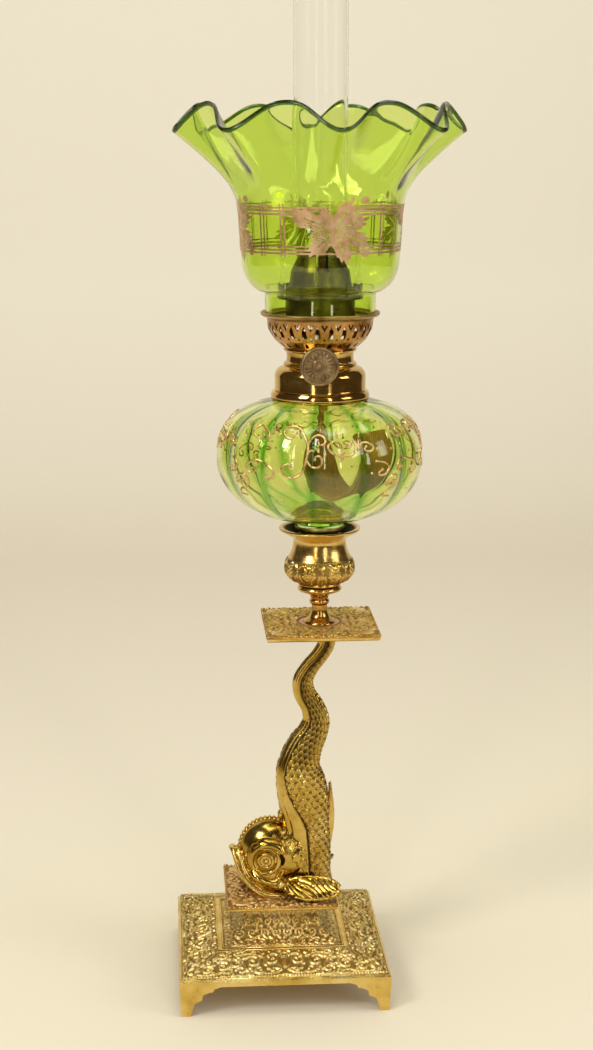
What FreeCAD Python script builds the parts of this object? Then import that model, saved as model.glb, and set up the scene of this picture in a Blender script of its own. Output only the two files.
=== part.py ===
import FreeCAD, Part
import math
import os

# Peg oil lamp: a brass dolphin candlestick, a glass font that drops into its socket by a peg,
# a flat wick burner, a chimney and a ruffled shade. Millimetres, +Z up, front is -Y.
# The origin is where the upright axis of the socket, font and burner meets the floor.

os.makedirs("parts", exist_ok=True)

origin = FreeCAD.Vector(0, 0, 0)
right = FreeCAD.Vector(1, 0, 0)
back = FreeCAD.Vector(0, 1, 0)
up = FreeCAD.Vector(0, 0, 1)
full_turn = 360
flat_angle = 0.001

# Fits and allowances
overrun = 1.0
thread_clearance = 0.08
running_clearance = 0.05
bond_gap = 0.1
glass_play = 0.7

# Base casting
base_width = 129.7
base_offset = 25.2
base_height = 54.0
base_wall = 3.2
skirt_height = 22.5
skirt_inset = 1.0
edge_round = 1.5
band_half = 40.6
border_width = 2.6
border_height = 9.5
border_lip = 0.8
panel_half = 36.9
panel_top_half = 20.5
foot_reach = 25.5
arch_height = 19.2

# Fastening under the dolphin
base_stud_radius = 2.4
base_stud_grip = 9.0
washer_radius = 7.0
washer_thickness = 1.2
nut_width = 9.0
nut_height = 4.5

# Plate that the dolphin stands on
plinth_width = 68.5
plinth_thickness = 3.0
plinth_chamfer = 0.8

# Dolphin
dolphin_height = 170.0
belly_radius = 16.0
tail_lean = 3.6
head_radius = 15.6
head_depth = 14.0
dolphin_sides = 24
head_height = 43.5
jaw_offset = 11.0
jaw_reach = 18.5
jaw_width = 19.0
jaw_height = 25.5
lip_radius = 2.0
lower_lip_share = 0.72
scroll_lean = 9.5
scroll_radius = 9.6
scroll_wire = 2.0
scroll_boss = 3.0
scroll_steps = 14
scroll_turns = 1.5
scroll_start_share = 0.17
scroll_taper_share = 0.66
scroll_out_share = 0.96
scroll_rise_share = 0.524
fin_start = 2.0
fin_length = 34.0
fin_width = 8.6
fin_thickness = 1.6
fin_out = 24.0
fin_rise = 5.6
fin_slope = 38
leaf_place = 5.2
leaf_start = 30.5
leaf_height = 37.0
leaf_width = 5.2
leaf_thickness = 2.2
leaf_bow = 3.2

# Drip plate
drip_width = 68.5
drip_thickness = 2.7
drip_rim = 5.0
drip_rim_height = 0.7

# Socket: rod, nut, baluster stem and candle cup
rod_radius = 1.3
rod_grip = 4.0
socket_nut_width = 6.0
socket_nut_height = 2.4
stem_height = 24.8
stem_radius = 13.4
cup_height = 36.1
cup_radius = 25.0
cup_floor = 3.6
cup_mouth_radius = 20.7
cup_seat_depth = 6.6
cup_seat_radius = 14.2
socket_bore = 11.2
socket_play = 0.3

# Peg and its cap
peg_length = 21.5
peg_tip_radius = 9.6
peg_flange_height = 2.2
peg_flange_play = 0.8
peg_neck_radius = 10.2
peg_cap_radius = 15.2
peg_cap_height = 3.4
peg_rise = 2.8
peg_bore = 7.6
peg_web = 1.6
stub_radius = 6.2
stub_length = 5.0
plaster_thickness = 2.0

# Glass font
font_radius = 63.0
font_height = 72.8
font_wall = 2.6
font_lobes = 12
lobe_depth = 2.8
lobe_phase = -84.2
lobe_steps = 6
foot_radius = 15.9
foot_height = 4.2
neck_radius = 26.0
neck_wall = 3.2
neck_height = 5.2

# Collar plastered to the neck of the font
collar_radius = 29.7
collar_height = 6.0
collar_wall = 1.6
collar_bore = 20.6
collar_tube_wall = 1.1
collar_tube_depth = 8.6
collar_top = 1.4

# Burner body
cup_wall = 0.9
thread_depth = 8.9
burner_radius = 27.5
burner_straight = 9.0
burner_shoulder = 6.4
burner_waist_radius = 20.2
burner_waist_wall = 0.8
burner_waist_height = 10.0
waist_bead_radius = 22.0
waist_bead_height = 1.1
floor_thickness = 0.8
vent_radius = 1.6
vent_bore = 1.1
vent_offset = 9.0
vent_height = 12.0
vent_drop = 3.0

# Pierced gallery
basket_radius = 32.0
basket_foot_radius = 21.4
basket_height = 18.0
basket_wall = 0.8
arcade_count = 24
plate_thickness = 0.8
plate_hole_radius = 1.3
plate_hole_count = 24
plate_hole_ring = 4.6
plate_hole_rows = 2
plate_hole_pitch = 5.0
flange_radius = 35.7
flange_inner = 30.4
flange_height = 3.0
flange_seat = 1.3
flange_lip = 0.8

# Drum and spring prongs that hold the chimney
drum_radius = 20.8
drum_wall = 0.7
drum_height = 11.2
prong_wall = 0.6
prong_height = 6.4
prong_count = 12
prong_slot = 2.6
ledge_thickness = 0.8

# Deflector dome
dome_radius = 19.0
dome_wall = 0.6
dome_straight = 17.0
dome_rise = 26.5
dome_slot_width = 7.0
dome_slot_length = 34.0
dome_rim_play = 0.2

# Wick, its tube and the winder
wick_width = 30.0
wick_thickness = 2.2
wick_play = 0.3
wick_showing = 0.6
wick_straight = 8.0
wick_tail_drop = 58.0
wick_tail_reach = 44.2
wick_tail_turn = 45
tube_wall = 0.5
tube_below_dome = 6.8
tube_drop = 7.0
spindle_offset = 4.1
spindle_rise = 4.2
spindle_radius = 0.9
spindle_inner_end = 12.0
cog_thickness = 1.6
cog_spread = 5.6
cog_teeth = 8
cog_play = 0.4
bite_gap = 0.15
bush_radius = 2.2
bush_start = 18.2
bush_end = 26.5
gland_radius = 3.3
gland_start = 22.3
bearing_length = 2.4
bearing_half = 2.6
bearing_reach = 2.4
knob_radius = 11.4
knob_thickness = 3.4
knob_web = 1.2
knob_rim = 1.3
knob_boss_radius = 3.0
knob_distance = 46.0
knob_flutes = 16
knob_flute_width = 0.9
knob_flute_share = 0.75

# Chimney
chimney_radius = 24.3
chimney_tube_radius = 16.1
chimney_wall = 1.6
chimney_height = 234.0
chimney_base_height = 23.0
chimney_shoulder = 19.0

# Shade
shade_neck_radius = 33.2
shade_radius = 81.0
shade_height = 114.4
shade_wall = 2.4
shade_lobes = 8
ruffle_rise = 7.5
ruffle_draw = 0.8
ruffle_phase = -109.3
ruffle_steps = 8

# Shares of the outlines, each a share of the radius and of the height of its piece
bracket_shares = [(0.27, 0.0), (0.30, 0.2), (0.37, 0.45), (0.54, 0.55), (0.56, 0.72), (0.72, 0.82),
                  (0.80, 0.82), (0.84, 0.93), (1.0, 1.0)]
panel_shares = [(0.55, 0.13), (0.25, 0.38), (0.08, 0.70), (0.0, 1.0)]
stem_shares = [(0.73, 0.0), (0.73, 0.09), (0.5, 0.18), (0.38, 0.36), (0.36, 0.54), (0.43, 0.6),
               (0.45, 0.66), (0.6, 0.74), (0.9, 0.83), (1.0, 0.9), (0.95, 1.0)]
cup_shares = [(0.50, 0.0), (0.54, 0.04), (0.72, 0.12), (0.83, 0.24), (0.84, 0.34), (0.79, 0.48), (0.76, 0.5),
              (0.68, 0.66), (0.65, 0.77), (0.70, 0.85), (0.88, 0.93), (1.0, 0.97), (1.0, 1.0)]
cup_flare_share = 0.76
body_shares = [(0.14, 1.0, 0.44), (0.8, 0.975, 0.36), (1.3, 0.94, 0.325), (0.6, 0.9, 0.325),
               (-1.2, 0.85, 0.34), (-2.7, 0.8, 0.39), (-2.6, 0.75, 0.42), (-1.2, 0.70, 0.43), (-0.55, 0.64, 0.52),
               (-1.1, 0.595, 0.57), (-2.2, 0.55, 0.67), (-3.3, 0.49, 0.82), (-3.45, 0.44, 0.92),
               (-2.9, 0.38, 0.98), (-2.4, 0.29, 0.96), (-2.6, 0.17, 0.98), (-3.1, 0.0, 1.05)]
head_shares = [(0.0, -0.02, 1.3, 1.28), (0.24, -0.14, 1.42, 1.06), (0.52, -0.2, 1.36, 0.95),
               (0.78, -0.12, 1.05, 0.86), (0.93, -0.1, 0.68, 0.6), (1.0, -0.1, 0.3, 0.3)]
fin_shares = [(0.0, 0.72, 0.5, 1.0), (0.12, 0.86, 0.68, 1.0), (0.3, 0.97, 0.94, 1.0), (0.55, 1.0, 1.0, 1.0),
              (0.8, 1.03, 0.84, 0.9), (0.93, 1.08, 0.5, 0.7), (1.0, 1.12, 0.16, 0.4)]
leaf_shares = [(0.0, 0.2, 0.3), (0.15, 0.7, 0.9), (0.4, 1.0, 1.0), (0.65, 0.85, 0.8),
               (0.87, 0.5, 0.6), (1.0, 0.16, 0.35)]
font_shares = [(0.283, 0.0), (0.46, 0.03), (0.65, 0.1), (0.82, 0.21), (0.945, 0.36), (1.0, 0.53),
               (0.985, 0.68), (0.90, 0.82), (0.73, 0.93), (0.46, 1.0)]
font_lobe_shares = [0.0, 0.3, 0.6, 0.9, 1.0, 1.0, 0.9, 0.7, 0.4, 0.0]
font_inner_shares = [(0.0, 0.04), (0.42, 0.075), (0.70, 0.19), (0.86, 0.37), (0.91, 0.56),
                     (0.85, 0.76), (0.66, 0.9), (0.41, 0.96)]
basket_shares = [(0.67, 0.0), (0.86, 0.3), (0.975, 0.64), (1.0, 1.0)]
shade_shares = [(0.41, 0.0, 0), (0.41, 0.106, 0), (0.469, 0.13, 0), (0.537, 0.18, 0), (0.581, 0.3, 0),
                (0.596, 0.46, 0), (0.612, 0.57, 0.03), (0.66, 0.67, 0.12), (0.77, 0.79, 0.36),
                (0.90, 0.90, 0.7), (1.0, 1.0, 1.0)]
spandrel_shares = [(0, 0.0), (1, 0.86), (0.62, 1.0), (0, 0.52), (-0.62, 1.0), (-1, 0.86)]
lancet_shares = [(-1, 0.0), (1, 0.0), (0.8, 0.65), (0, 1.0), (-0.8, 0.65)]
eyelet_shares = [(-1, 0.5), (0, 0.0), (1, 0.5), (0, 1.0)]
arch_shares = [(-0.9, 0.0), (0.9, 0.0), (0.75, 0.7), (0, 1.0), (-0.75, 0.7)]

# The wick below its tube: reach sideways, drop below the tube and share of its quarter turn done
wick_tail_shares = [(-0.01, 0.23, 0.13), (-0.02, 0.33, 0.4), (-0.03, 0.45, 0.67), (-0.02, 0.58, 0.87),
                    (0.01, 0.71, 1.0), (0.07, 0.84, 1.0), (0.18, 0.94, 1.0), (0.34, 0.99, 1.0),
                    (0.5, 1.0, 1.0), (0.66, 0.95, 1.0), (0.80, 0.86, 1.0), (0.92, 0.74, 1.0),
                    (0.98, 0.61, 1.0), (1.0, 0.48, 1.0), (0.95, 0.36, 1.0), (0.86, 0.275, 1.0)]
shoulder_shares = [(1.0, 0.0), (0.88, 0.26), (0.5, 0.54), (0.12, 0.8), (0.0, 1.0)]
dome_slot_share = 0.31
shoulder_bulge_share = 0.32
dome_rows = 4

# Places worked out from the sizes
base_middle = FreeCAD.Vector(-base_offset, 0, 0)
plinth_bottom = base_height
plinth_top = plinth_bottom + plinth_thickness
drip_bottom = plinth_top + dolphin_height
drip_top = drip_bottom + drip_thickness
cup_bottom = drip_top + stem_height
cup_top = cup_bottom + cup_height
seat_level = cup_top - cup_seat_depth
peg_flange_top = seat_level + peg_flange_height
cap_top = peg_flange_top + peg_rise + peg_cap_height
foot_bottom = cap_top
font_bottom = foot_bottom + foot_height
font_top = font_bottom + font_height
neck_top = font_top + neck_height - collar_top
collar_bottom = font_top + bond_gap
collar_level = collar_bottom + collar_height
shoulder_level = collar_level + burner_straight
waist_bottom = shoulder_level + burner_shoulder
waist_top = waist_bottom + burner_waist_height
basket_top = waist_top + basket_height
plate_top = basket_top + plate_thickness
shade_bottom = plate_top + flange_seat
ledge_bottom = plate_top + drum_height
chimney_bottom = ledge_bottom + ledge_thickness
floor_level = collar_level + cup_wall
tube_bottom = floor_level - tube_drop
tube_top = plate_top + dome_straight + dome_rise - tube_below_dome
tube_height = tube_top - tube_bottom
wick_top = tube_top + wick_showing
spindle_level = waist_bottom + spindle_rise
spindle_place = -spindle_offset
tube_half_thickness = wick_thickness / 2 + wick_play + tube_wall
tube_half_width = wick_width / 2 + wick_play + tube_wall
cog_radius = spindle_offset - wick_thickness / 2 - bite_gap


def flat(radius, height):
    return FreeCAD.Vector(radius, 0, height)


def joined(start, runs, place=flat):
    # Each run is the next point of a line, two points of an arc or more points of a smooth curve
    edges = []
    here = place(*start)
    for run in runs:
        points = [here] + [place(*point) for point in run]
        if len(points) == 2:
            edges.append(Part.makeLine(*points))
        elif len(points) == 3:
            edges.append(Part.Arc(*points).toShape())
        else:
            curve = Part.BSplineCurve()
            curve.interpolate(points)
            edges.append(curve.toShape())
        here = points[-1]
    if here.distanceToPoint(place(*start)) > 0:
        edges.append(Part.makeLine(here, place(*start)))
    return Part.Wire(edges)


def turned(start, *runs):
    return Part.Face(joined(start, runs)).revolve(origin, up, full_turn)


def turned_polygon(corners):
    return turned(corners[0], *[[corner] for corner in corners[1:]])


def scaled(shares, radius, height, level=0.0):
    return [(share * radius, level + rise * height) for share, rise in shares]


def square_corners(half, level, middle):
    corners = [(-half, -half), (half, -half), (half, half), (-half, half)]
    return [middle + FreeCAD.Vector(x, y, level) for x, y in corners]


def stacked_squares(steps, middle):
    # A square solid whose four sides follow the same steps of half width and level
    rings = [square_corners(half, level, middle) for half, level in steps]
    faces = [Part.Face(Part.makePolygon(ring + ring[:1])) for ring in (rings[0], rings[-1])]
    for low, high in zip(rings, rings[1:]):
        for i in range(4):
            k = (i + 1) % 4
            faces.append(Part.Face(Part.makePolygon([low[i], low[k], high[k], high[i], low[i]])))
    return sewn(faces)


def prism(corners, height, level, middle=origin):
    points = [middle + FreeCAD.Vector(x, y, level) for x, y in corners]
    return Part.Face(Part.makePolygon(points + points[:1])).extrude(up * height)


def polygon_corners(radius, sides):
    step = 2 * math.pi / sides
    return [(radius * math.cos(step * i), radius * math.sin(step * i)) for i in range(sides)]


def block(x_size, y_size, z_size, middle_x, middle_y, level):
    corner = FreeCAD.Vector(middle_x - x_size / 2, middle_y - y_size / 2, level)
    return Part.makeBox(x_size, y_size, z_size, corner)


def copies_round(shape, count, phase=0.0):
    copies = []
    for i in range(count):
        copy = shape.copy()
        copy.rotate(origin, up, phase + full_turn * i / count)
        copies.append(copy)
    return copies


def sewn(faces):
    shell = Part.makeShell(faces)
    shell.sewShape()
    solid = Part.makeSolid(Part.Shell(shell.Faces))
    if solid.Volume < 0:
        solid.reverse()
    return solid


def netted(rings, closed=False):
    # Flat triangles between neighbouring rings of points; the ends are flat, or meet when closed
    pairs = list(zip(rings, rings[1:]))
    faces = []
    if closed:
        pairs.append((rings[-1], rings[0]))
    else:
        faces = [Part.Face(Part.makePolygon(ring + ring[:1])) for ring in (rings[0], rings[-1])]
    for low, high in pairs:
        for i in range(len(low)):
            k = (i + 1) % len(low)
            for corners in ([low[i], low[k], high[k]], [low[i], high[k], high[i]]):
                faces.append(Part.Face(Part.makePolygon(corners + corners[:1])))
    return sewn(faces)


def bracket_arch():
    # Outline of the space between two feet, seen along a side of the base
    half = base_width / 2
    side = [(half - reach * foot_reach, height * arch_height) for reach, height in bracket_shares]
    outline = [(side[0][0], -overrun)] + side + [(-x, z) for x, z in side[::-1]] + [(-side[0][0], -overrun)]
    corners = [FreeCAD.Vector(x, -half - overrun, z) for x, z in outline]
    return Part.Face(Part.makePolygon(corners + corners[:1])).extrude(back * (base_width + 2 * overrun))


def base_steps():
    half = base_width / 2
    border_level = skirt_height + border_height
    steps = [(half - skirt_inset, 0), (half, skirt_height), (half - edge_round, skirt_height + edge_round),
             (band_half, border_level - border_lip), (band_half - border_lip, border_level),
             (band_half - border_lip - border_width, border_level), (panel_half, border_level - border_lip)]
    rise = base_height - border_level + border_lip
    for share, height in panel_shares:
        half_here = panel_top_half + share * (panel_half - panel_top_half)
        steps.append((half_here, border_level - border_lip + height * rise))
    return steps


def base_foot():
    steps = base_steps()
    solid = stacked_squares(steps, base_middle)
    inner = [(half - base_wall, level - base_wall) for half, level in steps if level != 0]
    inner = [(steps[0][0] - base_wall, -overrun)] + inner
    solid = solid.cut(stacked_squares(inner, base_middle))
    arch = bracket_arch()
    across = arch.copy()
    across.rotate(origin, up, full_turn / 4)
    for cutter in (arch, across):
        cutter.translate(base_middle)
        solid = solid.cut(cutter)
    hole = Part.makeCylinder(base_stud_radius + running_clearance, base_height, base_middle)
    return solid.cut(hole)


def base_stud():
    bottom = base_height - base_wall - washer_thickness - nut_height - overrun
    return Part.makeCylinder(base_stud_radius, plinth_top + base_stud_grip - bottom,
                             base_middle + up * bottom)


def base_washer():
    level = base_middle + up * (base_height - base_wall - washer_thickness)
    ring = Part.makeCylinder(washer_radius, washer_thickness, level)
    return ring.cut(Part.makeCylinder(base_stud_radius + running_clearance, washer_thickness, level))


def base_nut():
    level = base_height - base_wall - washer_thickness - nut_height
    nut = prism([(-nut_width / 2, -nut_width / 2), (nut_width / 2, -nut_width / 2),
                 (nut_width / 2, nut_width / 2), (-nut_width / 2, nut_width / 2)],
                nut_height, level, base_middle)
    return nut.cut(Part.makeCylinder(base_stud_radius + running_clearance, nut_height,
                                     base_middle + up * level))


def plinth_plate():
    half = plinth_width / 2
    steps = [(half - plinth_chamfer, plinth_bottom), (half, plinth_bottom + plinth_chamfer),
             (half, plinth_top - plinth_chamfer), (half - plinth_chamfer, plinth_top)]
    hole = Part.makeCylinder(base_stud_radius + running_clearance, plinth_top, base_middle)
    return stacked_squares(steps, base_middle).cut(hole)


def polygon_section(centre, wide, thick, sides):
    # A flat polygon round a centre, spanned by two half widths
    step = 2 * math.pi / sides
    corners = [centre + wide * math.cos(step * i) + thick * math.sin(step * i) for i in range(sides)]
    return Part.makePolygon(corners + corners[:1])


def bar_through(centres, radii, side_way, sides=6):
    # A bar through the centres with polygon sections square to its run
    sections = []
    last = len(centres) - 1
    for i, centre in enumerate(centres):
        along = centres[min(i + 1, last)] - centres[max(i - 1, 0)]
        thick = along.cross(side_way)
        thick.normalize()
        wide = thick.cross(along)
        wide.normalize()
        sections.append(polygon_section(centre, wide * radii[i], thick * radii[i], sides))
    return Part.makeLoft(sections, True, True)


def dolphin_body():
    # Rings square to the run of the body, from the plate above down to the plate below
    centres = [FreeCAD.Vector(lean * tail_lean, 0, plinth_top + rise * dolphin_height)
               for lean, rise, girth in body_shares]
    sections = []
    last = len(centres) - 1
    for i, centre in enumerate(centres):
        along = up if i in (0, last) else centres[i - 1] - centres[i + 1]
        along.normalize()
        girth = body_shares[i][2] * belly_radius
        sections.append(ring_points(centre, back.cross(along) * girth, back * girth))
    return netted(sections)


def ring_points(centre, wide, deep):
    # Points of an oval round a centre, spanned by two half widths
    step = 2 * math.pi / dolphin_sides
    return [centre + wide * math.cos(step * i) + deep * math.sin(step * i) for i in range(dolphin_sides)]


def dolphin_head():
    sections = []
    for rise, lean, length, width in head_shares:
        centre = FreeCAD.Vector(-base_offset + lean * head_radius, 0, plinth_top + rise * head_height)
        sections.append(ring_points(centre, right * (length * head_radius), back * (width * head_depth)))
    return netted(sections)


def scroll(side):
    # The curled brow on one cheek: a shrinking spiral round a small boss
    eye = FreeCAD.Vector(-base_offset - scroll_lean, side * head_depth * scroll_out_share,
                         plinth_top + head_height * scroll_rise_share)
    centres, radii = [], []
    for i in range(scroll_steps):
        done = i / (scroll_steps - 1)
        angle = 2 * math.pi * (scroll_start_share - scroll_turns * done)
        reach = scroll_radius * (1 - scroll_taper_share * done)
        out = side * scroll_wire * scroll_turns * done
        centres.append(eye + FreeCAD.Vector(reach * math.cos(angle), out, reach * math.sin(angle)))
        radii.append(scroll_wire * (1 - scroll_taper_share * done / 2))
    boss = Part.makeCone(scroll_boss, scroll_boss / 2, scroll_wire * 2, eye, back * side)
    return [bar_through(centres, radii, back), boss]


def lips():
    bars = []
    for size in (1, lower_lip_share):
        corner = FreeCAD.Vector(0, -jaw_width, 0)
        points = [corner, FreeCAD.Vector(-jaw_reach * 0.55 * size, -jaw_width * 0.74, jaw_height * 0.38 * size),
                  FreeCAD.Vector(-jaw_reach * 0.86 * size, -jaw_width * 0.42, jaw_height * 0.74 * size),
                  FreeCAD.Vector(-jaw_reach * size, 0, jaw_height * size)]
        points += [FreeCAD.Vector(point.x, -point.y, point.z) for point in points[-2::-1]]
        middle = FreeCAD.Vector(-base_offset - jaw_offset, 0, plinth_top)
        bars.append(bar_through([middle + point for point in points], [lip_radius] * len(points), up))
    return bars


def side_fin(side):
    # The broad fin that lies along the plate at each side
    start = -base_offset + fin_start
    slope = math.radians(fin_slope)
    long_way = FreeCAD.Vector(0, side * math.cos(slope), -math.sin(slope))
    short_way = FreeCAD.Vector(0, side * math.sin(slope), math.cos(slope))
    sections = []
    for along, out, width, thickness in fin_shares:
        centre = FreeCAD.Vector(start + along * fin_length, side * out * fin_out, plinth_top + fin_rise)
        sections.append(polygon_section(centre, long_way * (fin_width * width),
                                        short_way * (fin_thickness * thickness), 4))
    return Part.makeLoft(sections, True, True)


def back_leaf():
    # The upright leaf along the right side of the body
    sections = []
    for rise, width, thickness in leaf_shares:
        bow = math.sin(math.pi * rise) * leaf_bow
        centre = FreeCAD.Vector(leaf_place + bow, leaf_thickness, plinth_top + leaf_start + leaf_height * rise)
        sections.append(polygon_section(centre, right * (leaf_width * width),
                                        back * (leaf_thickness * thickness), 4))
    return Part.makeLoft(sections, True, True)


def dolphin():
    fish = dolphin_body()
    pieces = [dolphin_head(), back_leaf()] + lips()
    for side in (-1, 1):
        pieces += scroll(side)
        pieces.append(side_fin(side))
    fish = fish.multiFuse(pieces)
    below = block(plinth_width * 2, plinth_width * 2, plinth_top, -base_offset, 0, 0)
    stud_hole = Part.makeCylinder(base_stud_radius + running_clearance, base_stud_grip + overrun,
                                  base_middle + up * plinth_top)
    rod_hole = Part.makeCylinder(rod_radius + running_clearance, rod_grip + overrun, up * (drip_bottom - rod_grip))
    return fish.cut([below, stud_hole, rod_hole])


def drip_plate():
    half = drip_width / 2
    steps = [(half - drip_rim_height, drip_bottom), (half, drip_bottom + drip_rim_height), (half, drip_top),
             (half - drip_rim_height, drip_top + drip_rim_height),
             (half - drip_rim, drip_top + drip_rim_height), (half - drip_rim - drip_rim_height, drip_top)]
    hole = Part.makeCylinder(rod_radius + running_clearance, drip_top)
    return stacked_squares(steps, origin).cut(hole)


def socket_rod():
    bottom = drip_bottom - rod_grip
    return Part.makeCylinder(rod_radius, cup_bottom + cup_floor + socket_nut_height - bottom, up * bottom)


def socket_nut():
    level = cup_bottom + cup_floor
    nut = prism(polygon_corners(socket_nut_width / math.sqrt(3), 6), socket_nut_height, level)
    return nut.cut(Part.makeCylinder(rod_radius + running_clearance, socket_nut_height, up * level))


def socket_stem():
    bore = rod_radius + running_clearance
    outline = scaled(stem_shares, stem_radius, stem_height, drip_top)
    return turned_polygon(outline + [(bore, cup_bottom), (bore, drip_top)])


def candle_cup():
    outline = scaled(cup_shares, cup_radius, cup_height, cup_bottom)
    bore = rod_radius + running_clearance
    floor = cup_bottom + cup_floor
    flare = (cup_flare_share * cup_mouth_radius, (seat_level + cup_top) / 2)
    return turned_polygon(outline + [(cup_mouth_radius, cup_top), flare, (cup_seat_radius, seat_level),
                                     (socket_bore, seat_level), (socket_bore, floor), (bore, floor),
                                     (bore, cup_bottom)])


def peg():
    flange = cup_seat_radius - peg_flange_play
    shank = socket_bore - socket_play
    cap_bottom = cap_top - peg_cap_height
    tip = seat_level - peg_length
    cavity = stub_radius + bond_gap + plaster_thickness + bond_gap
    cavity_floor = foot_bottom - stub_length - bond_gap
    solid = turned_polygon([(0, cavity_floor - peg_web), (peg_bore, cavity_floor - peg_web), (peg_bore, tip),
                            (peg_tip_radius, tip), (shank, seat_level), (flange, seat_level),
                            (flange, peg_flange_top), (peg_neck_radius, peg_flange_top),
                            (peg_neck_radius, cap_bottom), (peg_cap_radius, cap_bottom),
                            (peg_cap_radius, cap_top), (cavity, cap_top), (cavity, cavity_floor),
                            (0, cavity_floor)])
    return solid


def peg_plaster():
    inner = stub_radius + bond_gap
    low = foot_bottom - stub_length - bond_gap
    return turned_polygon([(inner, low), (inner + plaster_thickness, low),
                           (inner + plaster_thickness, foot_bottom - bond_gap), (inner, foot_bottom - bond_gap)])


def lobed_ring(radius, height, depth):
    # A ring of points on round lobes that meet in creases
    points = []
    steps = lobe_steps * font_lobes
    for i in range(steps):
        bulge = math.sin(math.pi * i / lobe_steps)
        reach = radius - depth * (1 - abs(bulge))
        angle = 2 * math.pi * i / steps
        points.append(FreeCAD.Vector(reach * math.cos(angle), reach * math.sin(angle), height))
    return points


def font_glass():
    outline = scaled(font_shares, font_radius, font_height, font_bottom)
    rings = [lobed_ring(radius, height, lobe_depth * share)
             for (radius, height), share in zip(outline, font_lobe_shares)]
    melon = netted(rings)
    melon.rotate(origin, up, lobe_phase + full_turn / font_lobes / 2)
    foot = turned_polygon([(0, foot_bottom - stub_length), (stub_radius, foot_bottom - stub_length),
                           (stub_radius, foot_bottom), (foot_radius, foot_bottom),
                           (foot_radius, font_bottom + bond_gap), (0, font_bottom + bond_gap)])
    neck = Part.makeCylinder(neck_radius, neck_top - font_top + overrun, up * (font_top - overrun))
    inside = scaled(font_inner_shares, font_radius, font_height, font_bottom)
    bore = neck_radius - neck_wall
    cavity = turned_polygon(inside + [(bore, font_top), (bore, neck_top + overrun), (0, neck_top + overrun)])
    return melon.fuse([foot, neck]).cut(cavity)


def font_collar():
    thread = collar_bore + collar_tube_wall
    inner = collar_radius - 2 * collar_wall
    edge = collar_radius - collar_wall / 2
    low = collar_level - collar_tube_depth
    under = collar_level - collar_top
    rise = collar_height / 4
    return turned_polygon([(inner, collar_bottom), (edge, collar_bottom), (collar_radius, collar_bottom + rise),
                           (collar_radius, collar_level - rise), (edge, collar_level),
                           (collar_bore, collar_level), (collar_bore, low), (thread, low), (thread, under),
                           (inner, under)])


def collar_plaster():
    wall_inner = collar_radius - collar_wall - collar_wall - bond_gap
    return turned_polygon([(neck_radius + bond_gap, collar_bottom), (wall_inner, collar_bottom),
                           (wall_inner, neck_top), (neck_radius + bond_gap, neck_top)])


def burner_cup():
    thread = collar_bore - thread_clearance
    bore = thread - cup_wall
    low = collar_level - thread_depth
    mouth = burner_waist_radius + cup_wall
    inner = burner_radius - cup_wall
    bulge = burner_radius - burner_shoulder * shoulder_bulge_share
    bulge_level = waist_bottom - burner_shoulder * shoulder_bulge_share
    return turned_polygon([(bore, low), (thread, low), (thread, collar_level), (burner_radius, collar_level),
                           (burner_radius, shoulder_level), (bulge, bulge_level), (mouth, waist_bottom),
                           (mouth - 2 * cup_wall, waist_bottom), (inner, shoulder_level), (inner, floor_level),
                           (bore, floor_level)])


def burner_neck():
    inner = burner_waist_radius - burner_waist_wall
    outer = burner_waist_radius
    bead = waist_bead_radius
    low, high = waist_bottom, waist_top
    ring = turned_polygon([(inner, low), (bead, low), (bead, low + waist_bead_height),
                           (outer, low + 2 * waist_bead_height), (outer, high - 2 * waist_bead_height),
                           (bead, high - waist_bead_height), (bead, high), (inner, high)])
    hole = along_spindle(bush_radius + running_clearance, -burner_radius, -bush_start / 2)
    return ring.cut(hole)


def along_spindle(radius, start, end):
    place = FreeCAD.Vector(spindle_place, start, spindle_level)
    return Part.makeCylinder(radius, end - start, place, back)


def burner_floor():
    # Disc inside the cup that closes the font and carries the wick tube
    disc = Part.makeCylinder(burner_radius - cup_wall - bond_gap, floor_thickness, up * floor_level)
    slot = block(2 * (tube_half_thickness + running_clearance), 2 * (tube_half_width + running_clearance),
                 floor_thickness, 0, 0, floor_level)
    hole = Part.makeCylinder(vent_radius + running_clearance, floor_thickness,
                             FreeCAD.Vector(vent_offset, 0, floor_level))
    return disc.cut([slot, hole])


def vent_tube():
    place = FreeCAD.Vector(vent_offset, 0, floor_level - vent_drop)
    return Part.makeCylinder(vent_radius, vent_height, place).cut(
        Part.makeCylinder(vent_bore, vent_height, place))


def wick_tube():
    inner_x = wick_thickness + 2 * wick_play
    inner_y = wick_width + 2 * wick_play
    tube = block(inner_x + 2 * tube_wall, inner_y + 2 * tube_wall, tube_height, 0, 0, tube_bottom)
    tube = tube.cut(block(inner_x, inner_y, tube_height, 0, 0, tube_bottom))
    window_height = 2 * (cog_radius + cog_play)
    for side in (-1, 1):
        tube = tube.cut(block(2 * tube_wall, cog_thickness + 2 * cog_play, window_height,
                              -tube_half_thickness, side * cog_spread, spindle_level - window_height / 2))
    return tube


def basket_profile(offset):
    return scaled(basket_shares, basket_radius - offset, basket_height, waist_top)


def pierced(width, low, high, shape):
    # A cutter that pierces the basket outwards, centred on +X
    corners = [FreeCAD.Vector(0, width / 2 * x, low + (high - low) * z) for x, z in shape]
    return Part.Face(Part.makePolygon(corners + corners[:1])).extrude(right * (basket_radius + overrun))


def basket_openings():
    # The cutters of two neighbouring panels: a spandrel over an eyelet, then a lancet over an arch
    pitch = 2 * math.pi * basket_radius / arcade_count
    low, span = waist_top, basket_height
    first = [pierced(pitch * 0.47, low + span * 0.68, low + span * 0.92, spandrel_shares),
             pierced(pitch * 0.2, low + span * 0.36, low + span * 0.46, eyelet_shares)]
    second = [pierced(pitch * 0.38, low + span * 0.44, low + span * 0.86, lancet_shares),
              pierced(pitch * 0.32, low + span * 0.1, low + span * 0.27, arch_shares)]
    return first, second


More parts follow.
